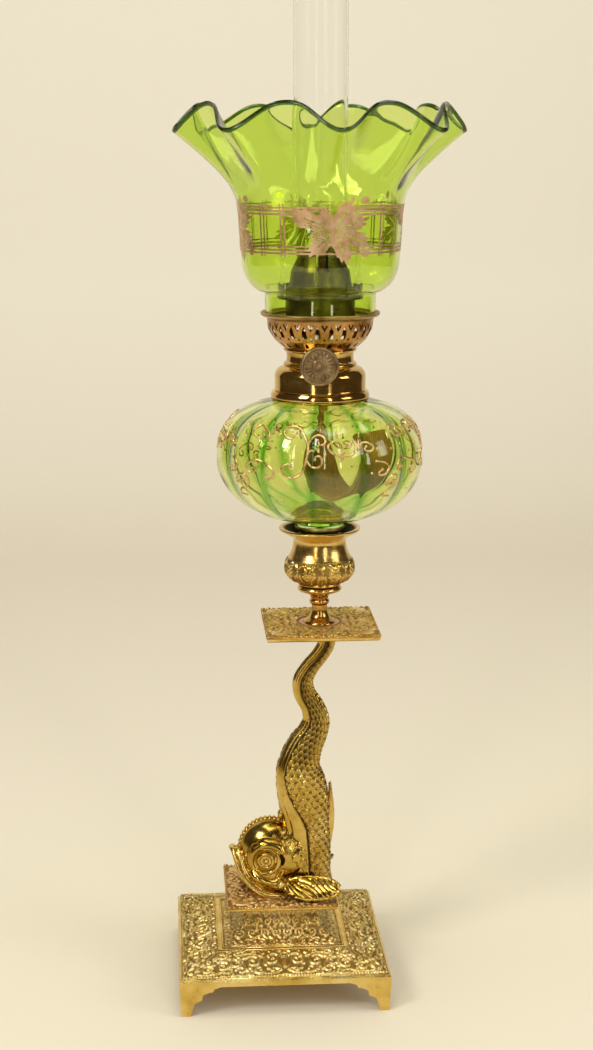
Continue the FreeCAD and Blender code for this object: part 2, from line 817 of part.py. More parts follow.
def gallery_basket():
    # Flat panels in two turns, each pierced once and then sewn round
    outline = basket_profile(0) + basket_profile(basket_wall)[::-1]
    turn = full_turn / arcade_count
    faces = []
    for k, openings in enumerate(basket_openings()):
        panel = wedge(outline, turn / 4).cut(openings)
        kept = [face for face in panel.Faces if not on_border(face, turn / 4)]
        for i in range(arcade_count):
            faces += turned_faces(kept, (i + k / 2) * turn)
    return sewn(faces)


def wedge(outline, half_angle):
    # A flat panel with the given upright outline, between two upright planes through the axis
    slope = math.tan(math.radians(half_angle))
    left = [FreeCAD.Vector(reach, -reach * slope, height) for reach, height in outline]
    right_side = [FreeCAD.Vector(point.x, -point.y, point.z) for point in left]
    faces = [Part.Face(Part.makePolygon(side + side[:1])) for side in (left, right_side)]
    for i in range(len(left)):
        k = (i + 1) % len(left)
        faces.append(Part.Face(Part.makePolygon([left[i], right_side[i], right_side[k], left[k], left[i]])))
    return sewn(faces)


def on_border(face, half_angle):
    # Whether a flat face lies in one of the two upright planes that bound a repeat
    angles = [math.degrees(math.atan2(vertex.Y, vertex.X)) for vertex in face.Vertexes]
    return all(abs(abs(angle) - half_angle) < flat_angle for angle in angles) and max(angles) * min(angles) > 0


def turned_faces(faces, angle):
    copies = [face.copy() for face in faces]
    for copy in copies:
        copy.rotate(origin, up, angle)
    return copies


def air_plate():
    disc = Part.makeCylinder(basket_radius, plate_thickness, up * basket_top)
    slot = block(2 * (tube_half_thickness + running_clearance), 2 * (tube_half_width + running_clearance),
                 plate_thickness, 0, 0, basket_top)
    hole = polygon_corners(plate_hole_radius, 6)
    outer_place = right * (drum_radius + plate_hole_ring)
    outer_holes = copies_round(prism(hole, plate_thickness, basket_top, outer_place), plate_hole_count)
    inner_holes = []
    for column in (1, 2):
        for row in range(-plate_hole_rows, plate_hole_rows + 1):
            for side in (-1, 1):
                place = FreeCAD.Vector(side * column * plate_hole_pitch, row * plate_hole_pitch, 0)
                inner_holes.append(prism(hole, plate_thickness, basket_top, place))
    return disc.cut([slot] + outer_holes + inner_holes)


def gallery_flange():
    top = plate_top + flange_height
    seat = plate_top + flange_seat
    lip = flange_radius - flange_lip
    return turned_polygon([(flange_inner, plate_top), (basket_radius, plate_top), (flange_radius, seat),
                           (flange_radius, top), (lip, top), (shade_neck_radius + glass_play, seat),
                           (flange_inner, seat)])


def chimney_drum():
    prong_inner = chimney_radius + glass_play
    prong_outer = prong_inner + prong_wall
    bore = drum_radius - drum_wall
    top = chimney_bottom + prong_height
    ring = turned_polygon([(bore, plate_top), (drum_radius, plate_top), (drum_radius, ledge_bottom),
                           (prong_outer, ledge_bottom), (prong_outer, top), (prong_inner, top),
                           (prong_inner, chimney_bottom), (bore, chimney_bottom)])
    slot = block(2 * prong_wall + overrun, prong_slot, prong_height, prong_inner + prong_wall / 2, 0,
                 chimney_bottom + ledge_thickness)
    return ring.cut(copies_round(slot, prong_count))


def deflector_dome():
    rim = drum_radius - drum_wall - dome_rim_play
    spring = plate_top + dome_straight
    outer = dome_arch(dome_radius, spring, dome_rise)
    inner = dome_arch(dome_radius - dome_wall, spring, dome_rise - dome_wall)
    dome = turned_polygon([(dome_radius - dome_wall, plate_top), (rim, plate_top), (rim, plate_top + dome_wall),
                           (dome_radius, plate_top + dome_wall)] + outer + inner[::-1])
    slot = block(dome_slot_width, dome_slot_length, dome_rise, 0, 0, spring + dome_slot_share * dome_rise)
    return dome.cut(slot)


def dome_arch(radius, spring, rise):
    angles = [math.pi / 2 * i / dome_rows for i in range(dome_rows + 1)]
    return [(radius * math.cos(angle), spring + rise * math.sin(angle)) for angle in angles[:-1]] + [
        (0, spring + rise)]


def winder_spindle():
    return along_spindle(spindle_radius, -knob_distance - knob_web, spindle_inner_end)


def winder_cogs():
    step = math.pi / cog_teeth
    root = cog_radius * 0.66
    corners = []
    for k in range(cog_teeth):
        middle = 2 * step * k
        for radius, spread in ((root, -0.7), (cog_radius, -0.3), (cog_radius, 0.3), (root, 0.7)):
            angle = middle + spread * step
            corners.append(FreeCAD.Vector(radius * math.cos(angle), 0, radius * math.sin(angle)))
    star = Part.Face(Part.makePolygon(corners + corners[:1])).extrude(back * cog_thickness)
    star = star.cut(Part.makeCylinder(spindle_radius + running_clearance, cog_thickness, origin, back))
    cogs = []
    for side in (-1, 1):
        cog = star.copy()
        cog.translate(FreeCAD.Vector(spindle_place, side * cog_spread - cog_thickness / 2, spindle_level))
        cogs.append(cog)
    return Part.makeCompound(cogs)


def spindle_bush():
    sleeve = along_spindle(bush_radius, -bush_end, -bush_start)
    gland = along_spindle(gland_radius, -bush_end, -gland_start)
    bore = along_spindle(spindle_radius + running_clearance, -bush_end, -bush_start)
    return sleeve.fuse(gland).cut(bore).removeSplitter()


def spindle_bearing():
    reach = spindle_offset + bearing_reach - tube_half_thickness
    saddle = block(reach, bearing_length, 2 * bearing_half, -tube_half_thickness - reach / 2,
                   spindle_inner_end - bearing_length / 2, spindle_level - bearing_half)
    return saddle.cut(along_spindle(spindle_radius + running_clearance, 0, spindle_inner_end))


def winder_knob():
    bore = spindle_radius + running_clearance
    web, half = knob_web / 2, knob_thickness / 2
    edge = knob_radius - knob_rim
    wheel = turned_polygon([(bore, -web), (edge, -web), (edge, -half), (knob_radius, 0), (edge, half),
                            (edge - knob_rim, web), (knob_boss_radius, web), (knob_boss_radius, half),
                            (bore, half)])
    length = edge - knob_rim - knob_boss_radius
    flute = block(length * knob_flute_share, knob_flute_width, knob_flute_width,
                  knob_boss_radius + length / 2, 0, web - knob_flute_width / 2)
    wheel = wheel.multiFuse(copies_round(flute, knob_flutes))
    wheel.rotate(origin, right, full_turn / 4)
    wheel.translate(FreeCAD.Vector(spindle_place, -knob_distance, spindle_level))
    return wheel


def chimney():
    low = chimney_bottom
    spring = low + chimney_base_height
    top = low + chimney_height
    wide, slim = chimney_radius, chimney_tube_radius
    outer = shoulder_curve(wide, slim, spring)
    inner = shoulder_curve(wide - chimney_wall, slim - chimney_wall, spring - chimney_wall / 3)
    return turned_polygon([(wide - chimney_wall, low), (wide, low)] + outer
                          + [(slim, top), (slim - chimney_wall, top)] + inner[::-1])


def shoulder_curve(wide, slim, low):
    return [(slim + (wide - slim) * reach, low + chimney_shoulder * rise) for reach, rise in shoulder_shares]


def ruffled_ring(radius, height, ruffle):
    # A ring of points that dips outwards in the valleys and rises inwards on the crests
    points = []
    steps = ruffle_steps * shade_lobes
    for i in range(steps):
        wave = ruffle * ruffle_rise * math.cos(2 * math.pi * i / ruffle_steps)
        reach = radius - wave * ruffle_draw
        angle = 2 * math.pi * i / steps
        points.append(FreeCAD.Vector(reach * math.cos(angle), reach * math.sin(angle), height + wave))
    return points


def inward(points, distance):
    # The same meridian moved inwards, square to itself
    moved = []
    last = len(points) - 1
    for i, (radius, height) in enumerate(points):
        before, after = points[max(i - 1, 0)], points[min(i + 1, last)]
        run, rise = after[0] - before[0], after[1] - before[1]
        length = math.hypot(run, rise)
        moved.append((radius - distance * rise / length, height + distance * run / length))
    return moved


def shade():
    outline = [(reach * shade_radius, shade_bottom + rise * shade_height) for reach, rise, ruffle in shade_shares]
    inner = inward(outline, shade_wall)
    inner[0] = (outline[0][0] - shade_wall, shade_bottom)
    rings = [ruffled_ring(radius, level, share[2]) for (radius, level), share in zip(outline, shade_shares)]
    rings += [ruffled_ring(radius, level, share[2]) for (radius, level), share in zip(inner, shade_shares)][::-1]
    glass = netted(rings, True)
    glass.rotate(origin, up, ruffle_phase)
    return glass


def wick_tail():
    # Middles and directions of the width, from the tube down and round to the loose end
    aside = FreeCAD.Vector(math.cos(math.radians(wick_tail_turn)), -math.sin(math.radians(wick_tail_turn)), 0)
    middles, wides = [], []
    for reach, drop, done in wick_tail_shares:
        middles.append(aside * (reach * wick_tail_reach) + up * (tube_bottom - drop * wick_tail_drop))
        turn = math.radians(wick_tail_turn * done)
        wides.append(FreeCAD.Vector(math.sin(turn), math.cos(turn), 0))
    return middles, wides


def wick():
    # A flat strip: each section is square to its run
    middles, wides = wick_tail()
    middles = [up * wick_top, up * (tube_bottom - wick_straight)] + middles
    wides = [back, back] + wides
    last = len(middles) - 1
    sections = []
    for i, middle in enumerate(middles):
        along = up * -1 if i < 2 else middles[min(i + 1, last)] - middles[i - 1]
        along.normalize()
        thick = wides[i].cross(along)
        thick.normalize()
        wide = along.cross(thick) * (wick_width / 2)
        thick = thick * (wick_thickness / 2)
        sections.append([middle - wide - thick, middle + wide - thick, middle + wide + thick, middle - wide + thick])
    return netted(sections)


makers = {
    "base_foot": base_foot, "base_stud": base_stud, "base_washer": base_washer, "base_nut": base_nut,
    "plinth_plate": plinth_plate, "dolphin": dolphin, "drip_plate": drip_plate,
    "socket_rod": socket_rod, "socket_nut": socket_nut, "socket_stem": socket_stem,
    "candle_cup": candle_cup, "peg": peg, "peg_plaster": peg_plaster, "font_glass": font_glass,
    "font_collar": font_collar, "collar_plaster": collar_plaster, "burner_cup": burner_cup,
    "burner_neck": burner_neck, "burner_floor": burner_floor, "vent_tube": vent_tube,
    "wick_tube": wick_tube, "spindle_bush": spindle_bush, "spindle_bearing": spindle_bearing,
    "gallery_basket": gallery_basket, "air_plate": air_plate, "gallery_flange": gallery_flange,
    "chimney_drum": chimney_drum, "deflector_dome": deflector_dome, "winder_spindle": winder_spindle,
    "winder_cogs": winder_cogs, "winder_knob": winder_knob, "wick": wick, "chimney": chimney,
    "shade": shade,
}

for name, maker in makers.items():
    shape = maker()
    shape.exportStep(f"parts/{name}.step")
    print(f"{name}: solids {len(shape.Solids)}, volume {shape.Volume:.0f}, valid {shape.isValid()}")
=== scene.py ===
import bpy
import bmesh
import math
import random
import numpy as np
from mathutils import Matrix, Vector


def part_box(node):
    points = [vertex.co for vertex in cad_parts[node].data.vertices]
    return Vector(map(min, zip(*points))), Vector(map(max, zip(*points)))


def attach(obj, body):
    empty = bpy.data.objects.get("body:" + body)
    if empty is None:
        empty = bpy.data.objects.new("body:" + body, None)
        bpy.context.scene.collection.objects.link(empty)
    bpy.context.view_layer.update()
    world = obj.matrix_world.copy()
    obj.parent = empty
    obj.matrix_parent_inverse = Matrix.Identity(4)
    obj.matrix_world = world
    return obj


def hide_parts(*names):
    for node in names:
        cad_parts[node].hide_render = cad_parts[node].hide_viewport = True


# Looks of the peg oil lamp. Lengths in the dictionaries are millimetres, as on a drawing.

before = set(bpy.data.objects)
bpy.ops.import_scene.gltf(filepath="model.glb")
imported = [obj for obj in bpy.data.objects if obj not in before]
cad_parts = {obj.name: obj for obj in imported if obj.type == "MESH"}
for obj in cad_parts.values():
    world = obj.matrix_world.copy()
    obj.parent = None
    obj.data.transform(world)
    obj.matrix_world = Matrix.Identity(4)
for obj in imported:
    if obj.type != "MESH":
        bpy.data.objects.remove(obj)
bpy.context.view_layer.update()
mm = 0.001
print("frame loaded,", len(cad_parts), "nodes")


# ---------------------------------------------------------------- materials

def newMaterial(name):
    material = bpy.data.materials.new(name)
    material.use_nodes = True
    nodes = material.node_tree.nodes
    nodes.clear()
    out = nodes.new("ShaderNodeOutputMaterial")
    shader = nodes.new("ShaderNodeBsdfPrincipled")
    material.node_tree.links.new(shader.outputs[0], out.inputs[0])
    return material, nodes, material.node_tree.links, shader, out


def addNoise(nodes, links, scale, detail=3.0, roughness=0.5, stretch=(1, 1, 1)):
    coords = nodes.new("ShaderNodeTexCoord")
    mapping = nodes.new("ShaderNodeMapping")
    mapping.inputs["Scale"].default_value = stretch
    noise = nodes.new("ShaderNodeTexNoise")
    for key, value in (("Scale", scale), ("Detail", detail), ("Roughness", roughness)):
        noise.inputs[key].default_value = value
    links.new(coords.outputs["Object"], mapping.inputs["Vector"])
    links.new(mapping.outputs[0], noise.inputs["Vector"])
    return noise.outputs[0]


def addRamp(nodes, links, source, stops):
    ramp = nodes.new("ShaderNodeValToRGB")
    elements = ramp.color_ramp.elements
    while len(elements) < len(stops):
        elements.new(0.5)
    for element, (place, colour) in zip(elements, stops):
        element.position = place
        element.color = (*colour, 1)
    links.new(source, ramp.inputs[0])
    return ramp.outputs[0]


def addBump(nodes, links, shader, source, strength, distance):
    bump = nodes.new("ShaderNodeBump")
    bump.inputs["Strength"].default_value = strength
    bump.inputs["Distance"].default_value = distance
    links.new(source, bump.inputs["Height"])
    links.new(bump.outputs[0], shader.inputs["Normal"])


def addMix(nodes, links, mask, plain, colour):
    mix = nodes.new("ShaderNodeMix")
    mix.data_type = "RGBA"
    mix.inputs["B"].default_value = (*colour, 1)
    links.new(mask, mix.inputs["Factor"])
    links.new(plain, mix.inputs["A"])
    return mix.outputs["Result"]


def reliefValue(nodes):
    depth = nodes.new("ShaderNodeAttribute")
    depth.attribute_name = "relief"
    return depth.outputs["Fac"]


def grey(value):
    return (value, value, value)


brassGrain = 0.0004
recessRough = 0.62


def metalMaterial(name, look):
    dark, middle, light, toneScale, wearScale, roughest, grainScale, grain, hollowPatinaAndShade, recessTo = look
    material, nodes, links, shader, out = newMaterial(name)
    shader.inputs["Metallic"].default_value = 1.0
    tone = addNoise(nodes, links, toneScale, 5.0, 0.6)
    colour = addRamp(nodes, links, tone, [(0.32, dark), (0.5, middle), (0.72, light)])
    wear = addNoise(nodes, links, wearScale, 6.0, 0.7)
    rough = addRamp(nodes, links, wear, [(0.35, grey(roughest[0])), (0.7, grey(roughest[1]))])
    # low relief values take the hollow tone: patina in the hollows, and painted shade there too
    if hollowPatinaAndShade:
        mask = addRamp(nodes, links, reliefValue(nodes), [(0.0, grey(1)), (recessTo, grey(0))])
        colour = addMix(nodes, links, mask, colour, hollowPatinaAndShade)
        rough = addMix(nodes, links, mask, rough, grey(recessRough))
    links.new(colour, shader.inputs["Base Color"])
    links.new(rough, shader.inputs["Roughness"])
    stretch = (1, 1, 6) if name == "turnedBrass" else (1, 1, 1)
    addBump(nodes, links, shader, addNoise(nodes, links, grainScale, 4.0, 0.6, stretch), grain, brassGrain)
    return material


def glassMaterial(name, look):
    colour, deep, shadow, ior, rippleScale, ripple = look
    material, nodes, links, shader, out = newMaterial(name)
    for key, value in (
            ("Base Color", (*colour, 1)), ("Roughness", 0.0), ("IOR", ior), ("Transmission Weight", 1.0)):
        shader.inputs[key].default_value = value
    # the deeper tone follows the relief attribute: painted shade in the font's creases, deeper towards the foot
    if deep:
        tint = addRamp(nodes, links, reliefValue(nodes), [(0.0, colour), (1.0, deep)])
        links.new(tint, shader.inputs["Base Color"])
    addBump(nodes, links, shader, addNoise(nodes, links, rippleScale, 2.0, 0.4), ripple, 0.001)
    # light passes to what stands behind as through thin coloured glass
    clear = nodes.new("ShaderNodeBsdfTransparent")
    clear.inputs[0].default_value = (*shadow, 1)
    path = nodes.new("ShaderNodeLightPath")
    mix = nodes.new("ShaderNodeMixShader")
    links.new(path.outputs["Is Shadow Ray"], mix.inputs[0])
    links.new(shader.outputs[0], mix.inputs[1])
    links.new(clear.outputs[0], mix.inputs[2])
    links.new(mix.outputs[0], out.inputs[0])
    return material


# dark, middle and light tone, tone scale, wear scale, least and most roughness, grain scale, grain,
# hollow tone and its limit: patina in the hollows, which also paints the shade that falls there
metalLooks = {
    "castBrass": (
        (0.58, 0.37, 0.08), (0.76, 0.54, 0.15), (0.9, 0.7, 0.3), 55, 160, (0.16, 0.34), 700, 0.12, None, None),
    "reliefBrass": (
        (0.6, 0.41, 0.11), (0.78, 0.57, 0.2), (0.92, 0.74, 0.36), 60, 200, (0.24, 0.42), 900, 0.3,
        (0.33, 0.225, 0.07), 0.4),
    # plateBrass is redder than reliefBrass: a tint painted to offset the green light that falls on the plates
    "plateBrass": (
        (0.62, 0.37, 0.12), (0.78, 0.5, 0.2), (0.9, 0.66, 0.33), 60, 200, (0.36, 0.52), 900, 0.2,
        (0.36, 0.22, 0.08), 0.4),
    # a darker, more saturated copy of the cast brass for the dolphin's body, head and fins: painted shade
    "shadedScaleBrass": (
        (0.34, 0.2, 0.03), (0.52, 0.345, 0.065), (0.72, 0.52, 0.16), 50, 180, (0.12, 0.26), 800, 0.12,
        (0.09, 0.05, 0.015), 0.45),
    # cupBrass's near-black hollow tone is a painted shadow inside the cup's mouth
    "cupBrass": (
        (0.44, 0.26, 0.06), (0.66, 0.43, 0.11), (0.86, 0.64, 0.26), 55, 180, (0.14, 0.32), 600, 0.12,
        (0.03, 0.02, 0.008), 0.5),
    "stemBrass": (
        (0.4, 0.2, 0.04), (0.6, 0.35, 0.09), (0.82, 0.56, 0.2), 60, 150, (0.12, 0.28), 500, 0.08, None, None),
    "turnedBrass": (
        (0.48, 0.27, 0.06), (0.66, 0.44, 0.13), (0.82, 0.62, 0.26), 30, 120, (0.06, 0.16), 400, 0.05, None, None),
    "agedBrass": (
        (0.22, 0.13, 0.05), (0.42, 0.28, 0.1), (0.62, 0.45, 0.2), 70, 200, (0.28, 0.5), 600, 0.15, None, None),
    # near-black brass for the chimney drum and the deflector dome
    "nearBlackBrass": (
        (0.06, 0.04, 0.02), (0.13, 0.1, 0.05), (0.26, 0.2, 0.1), 60, 180, (0.25, 0.5), 600, 0.1, None, None),
    "redBrass": (
        (0.28, 0.12, 0.03), (0.48, 0.25, 0.07), (0.7, 0.42, 0.15), 60, 150, (0.18, 0.36), 500, 0.1, None, None),
    "bronze": (
        (0.2, 0.13, 0.06), (0.36, 0.25, 0.12), (0.56, 0.42, 0.24), 90, 260, (0.26, 0.46), 700, 0.15, None, None),
    "steel": (
        (0.22, 0.2, 0.17), (0.36, 0.34, 0.31), (0.5, 0.48, 0.45), 120, 300, (0.3, 0.5), 700, 0.2, None, None),
    "gilding": (
        (0.54, 0.32, 0.15), (0.74, 0.48, 0.26), (0.88, 0.66, 0.42), 160, 400, (0.3, 0.5), 900, 0.2, None, None),
    "enamel": (
        (0.6, 0.37, 0.12), (0.78, 0.54, 0.22), (0.95, 0.76, 0.42), 200, 400, (0.22, 0.4), 900, 0.2, None, None),
}
# tone, deeper tone, tone of the shadow, index, ripple scale, ripple
glassLooks = {
    "shadeGlass": ((0.77, 0.91, 0.27), None, (0.84, 0.94, 0.5), 1.48, 45, 0.1),
    "fontGlass": ((0.9, 0.95, 0.46), (0.26, 0.62, 0.06), (0.92, 0.96, 0.62), 1.48, 40, 0.12),
    "shadedRimGlass": ((0.1, 0.2, 0.02), None, (0.3, 0.4, 0.1), 1.48, 45, 0.05),
    "clearGlass": ((0.99, 0.995, 0.99), None, (0.98, 0.99, 0.98), 1.16, 30, 0.05),
}
metals = {name: metalMaterial(name, look) for name, look in metalLooks.items()}
glasses = {name: glassMaterial(name, look) for name, look in glassLooks.items()}


def clothMaterial(name, threads, toneScale, light, dark, strength):
    material, nodes, links, shader, out = newMaterial(name)
    shader.inputs["Roughness"].default_value = 0.9
    coords = nodes.new("ShaderNodeTexCoord")
    weave = nodes.new("ShaderNodeTexWave")
    weave.inputs["Scale"].default_value = threads
    weave.inputs["Distortion"].default_value = 1.5
    links.new(coords.outputs["Object"], weave.inputs["Vector"])
    colour = addRamp(nodes, links, addNoise(nodes, links, toneScale, 4.0), [(0.3, dark), (0.6, light)])
    links.new(colour, shader.inputs["Base Color"])
    addBump(nodes, links, shader, weave.outputs["Fac"], strength, 0.0005)
    return material


wickCloth = clothMaterial("wickCloth", 220, 60, (0.27, 0.15, 0.05), (0.15, 0.08, 0.02), 0.6)
plaster = clothMaterial("plasterOfParis", 20, 200, (0.82, 0.79, 0.70), (0.66, 0.62, 0.52), 0.2)
print("materials made")


# ---------------------------------------------------------------- shaping helpers

def finishPiece(bm, name, body, material, replaced=(), sharp=35, keepNormals=False):
    bmesh.ops.remove_doubles(bm, verts=bm.verts, dist=2e-6)
    if not keepNormals:
        bmesh.ops.recalc_face_normals(bm, faces=bm.faces)
    smoothFaces(bm)
    for edge in bm.edges:
        edge.smooth = len(edge.link_faces) != 2 or edge.calc_face_angle(0) < math.radians(sharp)
    mesh = meshFrom(bm, name)
    return placePiece(mesh, name, body, material, replaced)


def smoothFaces(bm):
    for face in bm.faces:
        face.smooth = True


def meshFrom(bm, name):
    mesh = bpy.data.meshes.new(name)
    bm.to_mesh(mesh)
    bm.free()
    return mesh


def placePiece(mesh, name, body, material, replaced=()):
    piece = bpy.data.objects.new(name, mesh)
    bpy.context.collection.objects.link(piece)
    mesh.materials.clear()
    mesh.materials.append(material)
    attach(piece, body)
    if replaced:
        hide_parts(*replaced)
    return piece


def curveThrough(points, steps):
    # smooth line through the points, Catmull-Rom
    if len(points) == 2:
        return points
    line = []
    ends = [points[0]] + list(points) + [points[-1]]
    for i in range(len(points) - 1):
        a, b, c, d = (np.array(p, float) for p in ends[i:i + 4])
        for k in range(steps):
            t = k / steps
            line.append(tuple(0.5 * (2 * b + (c - a) * t + (2 * a - 5 * b + 4 * c - d) * t ** 2
                                     + (3 * b - a - 3 * c + d) * t ** 3)))
    line.append(tuple(points[-1]))
    return line


def softLine(runs, steps=8, soft=0.35):
    # runs share their ends; the corner between two runs is rounded a little
    line = []
    for i, run in enumerate(runs):
        points = [np.array(p, float) for p in curveThrough(run, steps)]
        if i > 0:
            corner = points[0]
            before, after = np.array(line[-2]), points[1]
            reach = min(soft, np.linalg.norm(before - corner) * 0.45, np.linalg.norm(after - corner) * 0.45)
            inTo = corner + (before - corner) / max(np.linalg.norm(before - corner), 1e-9) * reach
            out = corner + (after - corner) / max(np.linalg.norm(after - corner), 1e-9) * reach
            line[-1] = tuple(inTo)
            line.append(tuple(0.25 * inTo + 0.5 * corner + 0.25 * out))
            points[0] = out
        line += [tuple(p) for p in points]
    return line


def spinLine(line, steps=96):
    bm = bmesh.new()
    verts = [bm.verts.new((r * mm, 0, z * mm)) for r, z in line]
    edges = [bm.edges.new(pair) for pair in zip(verts, verts[1:])]
    bmesh.ops.spin(
        bm, geom=verts + edges, cent=(0, 0, 0), axis=(0, 0, 1), angle=2 * math.pi, steps=steps, use_merge=True)
    return bm


def turnedPiece(name, runs, body, material, replaced=(), steps=96, soft=0.35, lift=0.0):
    line = [
        (r, z + lift)
        for r, z in softLine(
            runs + [[runs[-1][-1], runs[0][0]]] if runs[-1][-1] != runs[0][0] else runs, soft=soft)]
    return finishPiece(spinLine(line, steps), name, body, material, replaced)


def mergeInto(bm, other):
    mesh = meshFrom(other, "part")
    bm.from_mesh(mesh)
    bpy.data.meshes.remove(mesh)


def rodsAlong(runs, sides=10, closed=False):
    # bars through rows of points, each point with its own radius, all lengths in metres
    curve = bpy.data.curves.new("rods", "CURVE")
    curve.dimensions = "3D"
    curve.bevel_depth = 1.0
    curve.bevel_resolution = max(0, (sides - 4) // 2)
    curve.use_fill_caps = True
    for points, radii in runs:
        spline = curve.splines.new("POLY")
        spline.points.add(len(points) - 1)
        for spot, place, radius in zip(spline.points, points, radii):
            spot.co = (*place, 1)
            spot.radius = radius
        spline.use_cyclic_u = closed
    holder = bpy.data.objects.new("rods", curve)
    mesh = bpy.data.meshes.new_from_object(holder)
    bm = bmesh.new()
    bm.from_mesh(mesh)
    bpy.data.objects.remove(holder)
    bpy.data.curves.remove(curve)
    bpy.data.meshes.remove(mesh)
    return bm


def squareRod(half, level, middle, radius):
    # a closed moulding round a square
    corners = [(half, half), (-half, half), (-half, -half), (half, -half)]
    return rodsAlong(
        [([(Vector((x + middle, y, level)) * mm) for x, y in corners], [radius * mm] * 4)], 10, True)


def blob(place, size, turn=None, segments=16):
    bm = bmesh.new()
    bmesh.ops.create_uvsphere(bm, u_segments=segments, v_segments=segments // 2, radius=1)
    matrix = Matrix.Translation(place) @ (turn or Matrix()) @ Matrix.Diagonal((*size, 1))
    bmesh.ops.transform(bm, matrix=matrix, verts=bm.verts)
    return bm


def storeRelief(mesh, values):
    layer = mesh.attributes.new("relief", "FLOAT", "POINT")
    layer.data.foreach_set("value", np.array(values, np.float32))


# ---------------------------------------------------------------- relief drawn with strokes

def spiral(x, y, radius, turns, start, way=1, width=1.0, count=34, shrink=0.85):
    # (x, y, half width) along a curl that tightens towards its eye
    done = np.linspace(0, 1, count)
    reach = radius * (1 - shrink * done)
    angle = start + way * 2 * math.pi * turns * done
    return np.stack([x + reach * np.cos(angle), y + reach * np.sin(angle), width * (1 - 0.45 * done)], 1)


def stem(points, width, count=26):
    line = np.array(curveThrough(points, count // max(len(points) - 1, 1)))
    done = np.linspace(0, 1, len(line))
    return np.column_stack([line, width * (0.55 + 0.45 * np.sin(math.pi * done))])


def leafStroke(x, y, angle, length, width, count=14):
    done = np.linspace(0, 1, count)
    return np.stack([x + length * done * math.cos(angle), y + length * done * math.sin(angle),
                     width * np.sin(math.pi * (0.12 + 0.88 * done)) ** 0.8 + 0.05], 1)


def taperStroke(x, y, angle, length, width, count=16):
    done = np.linspace(0, 1, count)
    return np.stack([x + length * done * math.cos(angle), y + length * done * math.sin(angle),
                     width * (1 - done) ** 0.6 + 0.1], 1)


def reliefHeight(u, v, strokes):
    # height from 0 to 1 at each point: each stroke is a rounded bar
    height = np.zeros(len(u))
    for stroke in strokes:
        low = stroke[:, :2].min(0) - stroke[:, 2].max()
        high = stroke[:, :2].max(0) + stroke[:, 2].max()
        near = np.where((u > low[0]) & (u < high[0]) & (v > low[1]) & (v < high[1]))[0]
        if not len(near):
            continue
        gap = np.hypot(
            u[near, None] - stroke[None, :, 0], v[near, None] - stroke[None, :, 1]) / stroke[None, :, 2]
        height[near] = np.maximum(height[near], np.sqrt(np.clip(1 - gap.min(1) ** 2, 0, 1)))
    return height


def filled(strokes, wide, tall, gap, size, seed, avoid=None):
    # leaves and small curls in the space that the main strokes leave, denser as gap is smaller
    chance = random.Random(seed)
    spots = []
    marks = np.concatenate([stroke for stroke in strokes]) if strokes else np.zeros((1, 3)) - 99
    for trial in range(5000):
        x, y = chance.uniform(0, wide), chance.uniform(1.6, tall - 1.2)
        if x > wide - y * 0.98 - 1.0 or (avoid and avoid(x, y)):
            continue
        if (np.hypot(marks[:, 0] - x, marks[:, 1] - y) - marks[:, 2]).min() < gap * 0.62:
            continue
        if any(math.hypot(x - a, y - b) < gap for a, b in spots):
            continue
        spots.append((x, y))
    for x, y in spots:
        angle = chance.uniform(0, 2 * math.pi)
        if chance.random() < 0.35:
            strokes.append(spiral(x, y, size * 0.8, 1.1, angle, chance.choice((-1, 1)), size * 0.26, 18))
        else:
            for turn in (-0.9, 0, 0.9):
                strokes.append(leafStroke(
                    x - size * 0.5 * math.cos(angle), y - size * 0.5 * math.sin(angle), angle + turn,
                    size * (1.25 if turn == 0 else 0.95), size * 0.3, 8))
    return strokes


def mirrored(strokes):
    return strokes + [stroke * np.array([-1, 1, 1]) for stroke in strokes]


